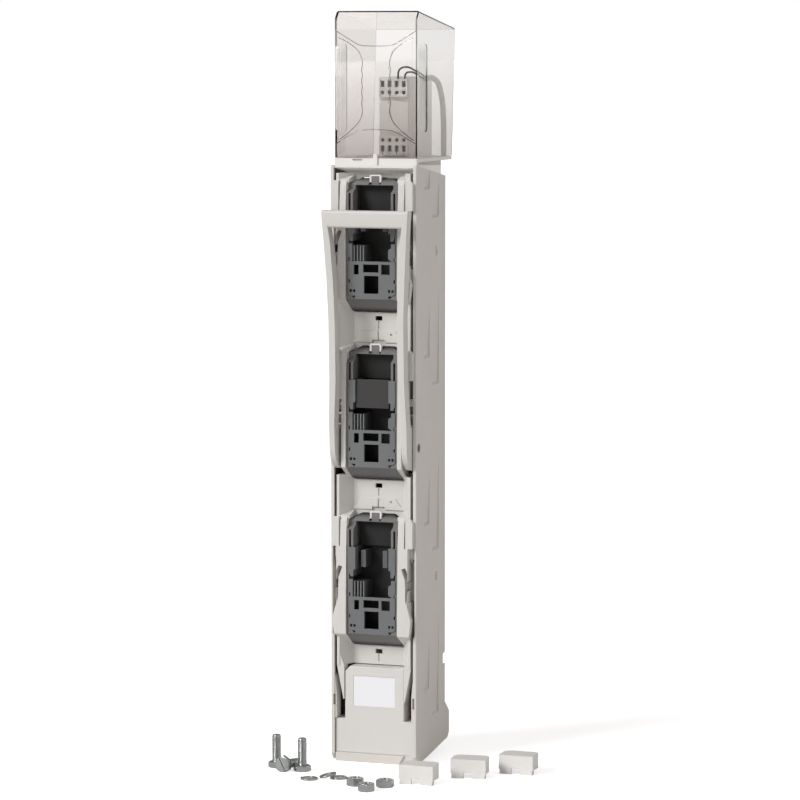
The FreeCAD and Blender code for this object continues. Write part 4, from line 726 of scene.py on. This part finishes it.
def hexRings(across, low, high, bothEnds):
    # A hexagon whose corners are turned off to a cone at one or both ends.
    radius = hexRadius(across)
    circle = across * fixings["roundShare"]

    def drop(angle):
        return (radius(angle) - circle) * math.tan(math.radians(fixings["roundAngle"]))
    foot = [(circle, low), (radius, lambda angle: low + drop(angle))] if bothEnds else [(radius, low)]
    return foot + [(radius, lambda angle: high - drop(angle)), (circle, high)]


def threadRings(radius, depth, pitch, low, high, rows, way=1):
    # A turned thread: the crest climbs by one pitch in each turn; both ends run out.
    count = int((high - low) / pitch * rows)
    rings = []
    for step in range(count + 1):
        level = low + (high - low) * step / count
        share = min(1.0, min(level - low, high - level) / pitch)

        def reach(angle, level=level, share=share):
            phase = (level / pitch - angle / (2 * math.pi)) % 1.0
            wave = abs(2 * phase - 1)
            root = radius - way * depth
            return root + way * depth * wave * share
        rings.append((reach, level))
    return rings


fixings = {
    "across": 17.0 * mm, "head": 6.4 * mm, "shank": 5.0 * mm, "length": 30.0 * mm, "depth": 0.62 * mm,
    "pitch": 1.5 * mm, "slotWide": 1.2 * mm, "slotDeep": 1.4 * mm, "nut": 8.4 * mm, "bore": 4.3 * mm,
    "runIn": 0.4 * mm, "runOut": 0.8 * mm, "tip": 1.2 * mm, "mouth": 0.7 * mm, "nutEnd": 0.5 * mm,
    "roundShare": 0.475, "roundAngle": 28, "threadSteps": 6, "low": -387.0 * mm}
facets = {"head": 96, "shank": 40, "nut": 72, "washer": 64, "screw": 48, "slotScrew": 40, "clamp": 48,
          "latch": 96}


def boltMesh():
    size = fixings

    def build(bm):
        closedSkin(bm, hexRings(size["across"], 0.0, size["head"], True), facets["head"])
    head = meshFrom("boltHead", build)

    def slotTool(bm):
        reach = size["across"]
        half = size["slotWide"] / 2
        boxCorners(bm, (-reach, -half, -1 * mm), (reach, half, size["slotDeep"]))
    head = cutOut(head, meshFrom("slotTool", slotTool))

    def whole(bm):
        bm.from_mesh(head)
        rings = threadRings(size["shank"], size["depth"], size["pitch"], size["head"] - size["runIn"],
                            size["head"] + size["length"] - size["runOut"], size["threadSteps"])
        rings.append((size["shank"] - size["tip"], size["head"] + size["length"]))
        closedSkin(bm, rings, facets["shank"])
    return meshFrom("slottedBolt", whole)


def nutMesh():
    size = fixings

    def build(bm):
        outside = hexRings(size["across"], 0.0, size["nut"], True)
        inside = threadRings(size["bore"], size["depth"], size["pitch"], size["nutEnd"],
                             size["nut"] - size["nutEnd"], size["threadSteps"], -1)
        mouth = size["bore"] + size["mouth"]
        rings = [(mouth, 0.0)] + outside + [(mouth, size["nut"])] + list(reversed(inside))
        closedSkin(bm, rings, facets["nut"], True)
    return meshFrom("threadedNut", build)


washer = {"radius": 9.6 * mm, "rim": 9.4 * mm, "tall": 1.5 * mm, "rimLow": 0.2 * mm, "rimHigh": 1.3 * mm,
          "collar": 7.9 * mm, "collarLow": 1.4 * mm, "collarHigh": 1.8 * mm, "below": -5.5 * mm,
          "joint": 0.1 * mm}


def terminalBoltMesh():
    # A plain hexagon head on a flat washer, with its shank through the bar.
    size = fixings
    flat = washer

    def build(bm):
        closedSkin(bm, [(size["shank"], flat["below"]), (size["shank"], flat["joint"])], facets["shank"])
        closedSkin(bm, [(flat["rim"], 0.0), (flat["radius"], flat["rimLow"]),
                        (flat["radius"], flat["rimHigh"]), (flat["rim"], flat["tall"])], facets["washer"])
        collar = [(flat["collar"], flat["collarLow"]), (flat["collar"], flat["collarHigh"])]
        head = hexRings(size["across"], flat["collarHigh"], size["head"], False)
        closedSkin(bm, collar + head, facets["head"])
    return meshFrom("terminalBolt", build)


crossHead = {"arm": 0.62, "half": 0.14, "deep": 0.42, "narrow": 0.75}


def crossScrewMesh(name, radius, depth):
    # A low domed head with a punched cross recess.
    def build(bm):
        dome = [(radius * 0.96, -depth), (radius, -depth + 0.2 * mm), (radius, -0.55 * mm),
                (radius * 0.93, -0.2 * mm), (radius * 0.7, -0.05 * mm), (radius * 0.35, 0.0)]
        closedSkin(bm, dome, facets["screw"])
    mesh = meshFrom(name, build)
    arm = radius * crossHead["arm"]
    half = radius * crossHead["half"]
    for x, y in ((arm, half), (half, arm)):
        def tool(bm, x=x, y=y):
            boxCorners(bm, (-x, -y, -radius * crossHead["deep"]), (x, y, 1 * mm), crossHead["narrow"])
        mesh = cutOut(mesh, meshFrom(name + "Tool", tool))
    return mesh


slotHead = {"rim": 0.3 * mm, "top": 0.86, "half": 0.16, "deep": 0.5}


def slotScrewMesh(name, radius, depth):
    def build(bm):
        cheese = [(radius, -depth), (radius, -slotHead["rim"]), (radius * slotHead["top"], 0.0)]
        closedSkin(bm, cheese, facets["slotScrew"])

    def tool(bm):
        half = radius * slotHead["half"]
        boxCorners(bm, (-radius * 2, -half, -radius * slotHead["deep"]), (radius * 2, half, 1 * mm))
    return cutOut(meshFrom(name, build), meshFrom(name + "Tool", tool))


def rounded(across, along, squareness=8):
    # The radius of a rectangle with round corners, as a function of the angle.
    def radius(angle):
        x = abs(math.cos(angle)) / across
        y = abs(math.sin(angle)) / along
        return (x ** squareness + y ** squareness) ** (-1 / squareness)
    return radius


clamp = {"wide": 4.2 * mm, "tall": 6.8 * mm, "deep": 1.9 * mm, "rim": 0.25 * mm, "lip": 0.2 * mm,
         "frame": (0.7 * mm, 0.9 * mm), "plate": (0.6 * mm, 0.8 * mm), "plateShare": 0.6}


def clampMesh():
    # The sprung plate behind a wire entry: a rounded frame with its lip turned in.
    size = clamp

    def inset(across, along):
        return rounded(size["wide"] / 2 - across, size["tall"] / 2 - along)

    def build(bm):
        outside = inset(0, 0)
        inside = inset(*size["frame"])
        frameRings = [(outside, -size["deep"]), (outside, -size["rim"]),
                      (inset(size["rim"], size["rim"]), 0.0), (inside, -size["lip"]),
                      (inside, -size["deep"])]
        closedSkin(bm, frameRings, facets["clamp"], True)
        plate = inset(*size["plate"])
        closedSkin(bm, [(plate, -size["deep"]), (plate, -size["deep"] * size["plateShare"])], facets["clamp"])
    return meshFrom("modulePlate", build)


latches = {"shift": 39.0 * mm, "face": -71.0 * mm, "level": -321.0 * mm, "wide": 14.4 * mm,
           "tall": 50.0 * mm, "deep": 5.0 * mm, "rim": 0.6 * mm, "edge": 1.6 * mm, "field": 2.0 * mm,
           "sunk": 0.8 * mm}


def latchMesh():
    # A flat sprung tongue with a chamfered rim and a sunk field.
    size = latches

    def inset(step):
        return rounded(size["wide"] / 2 - step, size["tall"] / 2 - step)

    def build(bm):
        tongue = [(inset(0), -size["deep"]), (inset(0), -size["rim"]), (inset(size["rim"]), 0.0),
                  (inset(size["edge"]), 0.0), (inset(size["field"]), -size["sunk"])]
        closedSkin(bm, tongue, facets["latch"])
    return meshFrom("latch", build)


# Node trees for what repeats and for the split rings.
def newGeometryTree(name, sockets):
    tree = bpy.data.node_groups.new(name, "GeometryNodeTree")
    tree.interface.new_socket(name="Geometry", in_out="INPUT", socket_type="NodeSocketGeometry")
    for word, kind in sockets:
        tree.interface.new_socket(name=word, in_out="INPUT", socket_type=kind)
    tree.interface.new_socket(name="Geometry", in_out="OUTPUT", socket_type="NodeSocketGeometry")
    return tree, tree.nodes.new("NodeGroupInput"), tree.nodes.new("NodeGroupOutput")


def dressGeometry(tree, shape, given, result):
    finish = tree.nodes.new("GeometryNodeSetMaterial")
    tree.links.new(shape, finish.inputs["Geometry"])
    tree.links.new(given.outputs["Finish"], finish.inputs["Material"])
    tree.links.new(finish.outputs[0], result.inputs[0])


def makeCopiesTree():
    # The unit stands on each point, turned by the point's own angles.
    tree, given, result = newGeometryTree("placedCopies", [
        ("Unit", "NodeSocketObject"), ("Finish", "NodeSocketMaterial")])
    turn = tree.nodes.new("GeometryNodeInputNamedAttribute")
    turn.data_type = "FLOAT_VECTOR"
    turn.inputs["Name"].default_value = "turn"
    rotation = tree.nodes.new("FunctionNodeEulerToRotation")
    tree.links.new(turn.outputs["Attribute"], rotation.inputs[0])
    unit = tree.nodes.new("GeometryNodeObjectInfo")
    tree.links.new(given.outputs["Unit"], unit.inputs["Object"])
    copies = tree.nodes.new("GeometryNodeInstanceOnPoints")
    tree.links.new(given.outputs["Geometry"], copies.inputs["Points"])
    tree.links.new(unit.outputs["Geometry"], copies.inputs["Instance"])
    tree.links.new(rotation.outputs[0], copies.inputs["Rotation"])
    real = tree.nodes.new("GeometryNodeRealizeInstances")
    tree.links.new(copies.outputs[0], real.inputs[0])
    dressGeometry(tree, real.outputs[0], given, result)
    return tree


def makeRingTree():
    # A flat bar wound almost once round, its two ends apart by the rise.
    tree, given, result = newGeometryTree("splitRing", [
        ("Radius", "NodeSocketFloat"), ("Rise", "NodeSocketFloat"), ("Turns", "NodeSocketFloat"),
        ("Width", "NodeSocketFloat"), ("Thickness", "NodeSocketFloat"), ("Corner", "NodeSocketFloat"),
        ("Steps", "NodeSocketInt"), ("Finish", "NodeSocketMaterial")])
    line = tree.nodes.new("GeometryNodeCurveSpiral")
    for word, socket in (("Start Radius", "Radius"), ("End Radius", "Radius"), ("Height", "Rise"),
                         ("Rotations", "Turns"), ("Resolution", "Steps")):
        tree.links.new(given.outputs[socket], line.inputs[word])
    upright = tree.nodes.new("GeometryNodeSetCurveNormal")
    upright.mode = "Z_UP"
    tree.links.new(line.outputs[0], upright.inputs["Curve"])
    bar = tree.nodes.new("GeometryNodeCurvePrimitiveQuadrilateral")
    tree.links.new(given.outputs["Width"], bar.inputs["Width"])
    tree.links.new(given.outputs["Thickness"], bar.inputs["Height"])
    soft = tree.nodes.new("GeometryNodeFilletCurve")
    tree.links.new(given.outputs["Corner"], soft.inputs["Radius"])
    tree.links.new(bar.outputs[0], soft.inputs["Curve"])
    skin = tree.nodes.new("GeometryNodeCurveToMesh")
    skin.inputs["Fill Caps"].default_value = True
    tree.links.new(upright.outputs[0], skin.inputs["Curve"])
    tree.links.new(soft.outputs[0], skin.inputs["Profile Curve"])
    dressGeometry(tree, skin.outputs[0], given, result)
    return tree


def growMesh(name, base, tree, values):
    # The mesh that a tree makes from the base mesh; inputs are set before the first evaluation.
    piece = bpy.data.objects.new(name + "Base", base)
    growth = piece.modifiers.new("growth", "NODES")
    growth.node_group = tree
    for item in tree.interface.items_tree:
        if item.in_out == "INPUT" and item.name in values:
            growth[item.identifier] = values[item.name]
    bpy.context.scene.collection.objects.link(piece)
    mesh = settledMesh(piece)
    mesh.name = name
    bpy.data.objects.remove(piece)
    return mesh


copiesTree = makeCopiesTree()
ringTree = makeRingTree()


def placeCopies(name, body, unit, spots, finish, replaced=None):
    # One mesh of copies of a unit mesh. A spot is a place in metres and its turns about X, Y and Z
    # in degrees.
    base = bpy.data.meshes.new(name + "Points")
    base.from_pydata([place for place, turn in spots], [], [])
    turns = base.attributes.new("turn", "FLOAT_VECTOR", "POINT")
    for item, (place, turn) in zip(turns.data, spots):
        item.vector = [math.radians(angle) for angle in turn]
    source = sceneObject(name + "Unit", unit)
    mesh = growMesh(name, base, copiesTree, {"Unit": source, "Finish": finishes[finish]})
    bpy.data.objects.remove(source)
    piece = sceneObject(name, mesh)
    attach(piece, body)
    if replaced:
        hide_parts(replaced)


splitRings = {"Radius": 7.4 * mm, "Rise": 0.5 * mm, "Turns": 0.965, "Width": 4.1 * mm,
              "Thickness": 1.8 * mm, "Corner": 0.25 * mm, "Steps": 72}
# The loose kit: places across and ahead of the casing in its widths, the lift off the floor and the
# turns. The casing's width and front are in millimetres.
kit = {
    "wide": 100, "front": -98,
    "bolts": [((-0.94, 0.54, 0.0), (0, 0, 12)), ((-0.60, 0.64, 0.0), (0, 0, 40)),
              ((-0.785, 0.78, fixings["across"] / 2), (-103.0, 59.3, -19.3))],
    "nuts": [((0.21, 1.17, 0.0), (0, 0, 10)), ((0.42, 1.40, 0.0), (0, 0, 25)),
             ((0.54, 1.14, 0.0), (0, 0, 0))],
    "rings": [((-0.36, 1.06, 1.2 * mm), (0, 0, 160)), ((-0.195, 0.92, 3.3 * mm), (0, -13, 10)),
              ((-0.073, 0.91, 1.2 * mm), (0, 0, 250))]}


def kitSpots(word):
    spots = []
    for (across, ahead, lift), turn in kit[word]:
        x = across * kit["wide"] * mm
        y = (kit["front"] - kit["wide"] * ahead) * mm
        spots.append(((x, y, fixings["low"] + lift), turn))
    return spots


def makeKit():
    placeCopies("looseBolts", "casing", boltMesh(), kitSpots("bolts"), "steel", "spare_bolts")
    placeCopies("looseNuts", "casing", nutMesh(), kitSpots("nuts"), "steel", "spare_nuts")
    ring = growMesh("splitRing", bpy.data.meshes.new("ringBase"), ringTree, splitRings)
    placeCopies("looseRings", "casing", ring, kitSpots("rings"), "steel", "spare_washers")


wallScrews = {"side": 49.2 * mm, "depth": -32.0 * mm, "top": 178.0 * mm, "bottom": -184.0 * mm,
              "radius": 4.0 * mm, "tall": 3.0 * mm, "roll": 14}


def makeWallScrews():
    size = wallScrews
    spots = []
    for level in (size["top"], size["bottom"]):
        for way in (1, -1):
            spots.append(((way * size["side"], size["depth"], level), (0, way * 90, size["roll"])))
    unit = crossScrewMesh("wallScrew", size["radius"], size["tall"])
    placeCopies("wallScrews", "casing", unit, spots, "zinc", "side_wall_screws")


module = {"middle": 5.0 * mm, "pitch": 8.2 * mm, "face": -47.0 * mm, "seat": 3.0 * mm, "columns": 4,
          "upperHoles": 352.0 * mm, "lowerHoles": 300.0 * mm, "upperEntries": 361.5 * mm,
          "lowerEntries": 290.5 * mm, "screw": 2.0 * mm, "screwDeep": 1.9 * mm, "screwTurn": 35}


def makeModuleFittings():
    # Slotted clamp screws behind the round holes and sprung plates behind the wire entries.
    size = module
    seat = size["face"] + size["seat"]
    screws = []
    plates = []
    for index in range(size["columns"]):
        x = size["middle"] + (index - (size["columns"] - 1) / 2) * size["pitch"]
        for level in (size["upperHoles"], size["lowerHoles"]):
            screws.append(((x, seat, level), (90, size["screwTurn"] * index, 0)))
        for level in (size["upperEntries"], size["lowerEntries"]):
            plates.append(((x, seat, level), (90, 0, 0)))
    screw = slotScrewMesh("moduleScrew", size["screw"], size["screwDeep"])
    placeCopies("moduleScrews", "casing", screw, screws, "darkSteel")
    placeCopies("modulePlates", "casing", clampMesh(), plates, "darkSteel")


barBolts = {"seat": -17.0 * mm, "level": -338.0 * mm, "shifts": (-27.0 * mm, 27.0 * mm, 0.0),
            "firstTurn": 12, "turn": 20}


def makeBarBolts():
    size = barBolts
    spots = [((shift, size["seat"], size["level"]), (90, size["firstTurn"] + size["turn"] * index, 0))
             for index, shift in enumerate(size["shifts"])]
    placeCopies("barBolts", "casing", terminalBoltMesh(), spots, "steel", "terminal_bolts")


def makeLatches():
    # Dark tongues behind the slots beside the terminal cover. Their form is a guess.
    size = latches
    spots = [((shift, size["face"], size["level"]), (90, 0, 0)) for shift in (-size["shift"], size["shift"])]
    placeCopies("coverLatches", "casing", latchMesh(), spots, "plate")


linkScrew = {"place": (-15.6 * mm, -78.0 * mm, 179.5 * mm), "radius": 4.4 * mm, "tall": 2.9 * mm}


def makeLinkScrew():
    # The bright screw on the floor of the first carrier.
    size = linkScrew
    placeCopies("linkScrew", "carriage", crossScrewMesh("linkScrewHead", size["radius"], size["tall"]),
                [(size["place"], (90, 25, 0))], "steel")


cover = {"foot": 281.3 * mm, "top": 433.0 * mm, "half": 47.5 * mm, "face": -89.0 * mm, "waist": 16.0 * mm,
         "bead": 0.45 * mm, "sink": 0.30 * mm, "beadSteps": 3, "lineSteps": 6, "edge": 2.0 * mm,
         "shoulders": (8.0 * mm, 1.0 * mm), "upperField": (-14.0 * mm, -27.0 * mm, -30.0 * mm),
         "lowerField": (16.0 * mm, 28.0 * mm, 31.0 * mm), "waves": 9, "waveFrom": 50.0 * mm,
         "wavePitch": 6.0 * mm, "waveOut": 1.2 * mm, "waveIn": -0.6 * mm}


def reliefLines():
    # The edges of the cover's moulded relief: the two tapered fields and the pocket on either side.
    size = cover
    rim = size["half"] - size["edge"]
    waist = size["waist"]
    top = size["top"]
    foot = size["foot"]
    across = [rim] + [waist + shoulder for shoulder in size["shoulders"]]
    lines = []
    for edge, rises in ((top, size["upperField"]), (foot, size["lowerField"])):
        half = [(x, edge + rise) for x, rise in zip(across, rises)]
        lines.append([(-x, z) for x, z in half] + half[::-1])
    pocket = [(rim - 2 * mm, top - 21 * mm), (rim - 6 * mm, top - 22 * mm), (waist + 5 * mm, top - 33 * mm),
              (waist, top - 44 * mm)]
    for step in range(size["waves"]):
        swing = size["waveOut"] if step % 2 else size["waveIn"]
        pocket.append((waist + swing, top - size["waveFrom"] - size["wavePitch"] * step))
    pocket += [(waist, foot + 46 * mm), (waist + 5 * mm, foot + 37 * mm), (rim - 6 * mm, foot + 21 * mm),
               (rim - 2 * mm, foot + 20 * mm)]
    return lines + [pocket, [(-x, z) for x, z in pocket]]


def makeCoverRelief():
    size = cover
    curve = bpy.data.curves.new("reliefLines", "CURVE")
    curve.dimensions = "3D"
    curve.bevel_depth = size["bead"]
    curve.bevel_resolution = size["beadSteps"]
    curve.use_fill_caps = True
    for line in reliefLines():
        spline = curve.splines.new("NURBS")
        spline.points.add(len(line) - 1)
        for point, (x, z) in zip(spline.points, line):
            point.co = (x, size["face"] + size["sink"], z, 1.0)
        spline.order_u = 3
        spline.use_endpoint_u = True
        spline.resolution_u = size["lineSteps"]
    source = sceneObject("reliefSource", curve)
    mesh = settledMesh(source)
    bpy.data.objects.remove(source)
    # The beads take the darker clear finish, as painted shade for the dark lines at the relief's edges.
    mesh.materials.clear()
    mesh.materials.append(finishes["clearEdge"])
    piece = sceneObject("coverRelief", mesh)
    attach(piece, "cover")


makeKit()
makeWallScrews()
makeModuleFittings()
makeBarBolts()
makeLatches()
makeLinkScrew()
makeCoverRelief()
print("fixings, module fittings and cover relief made")
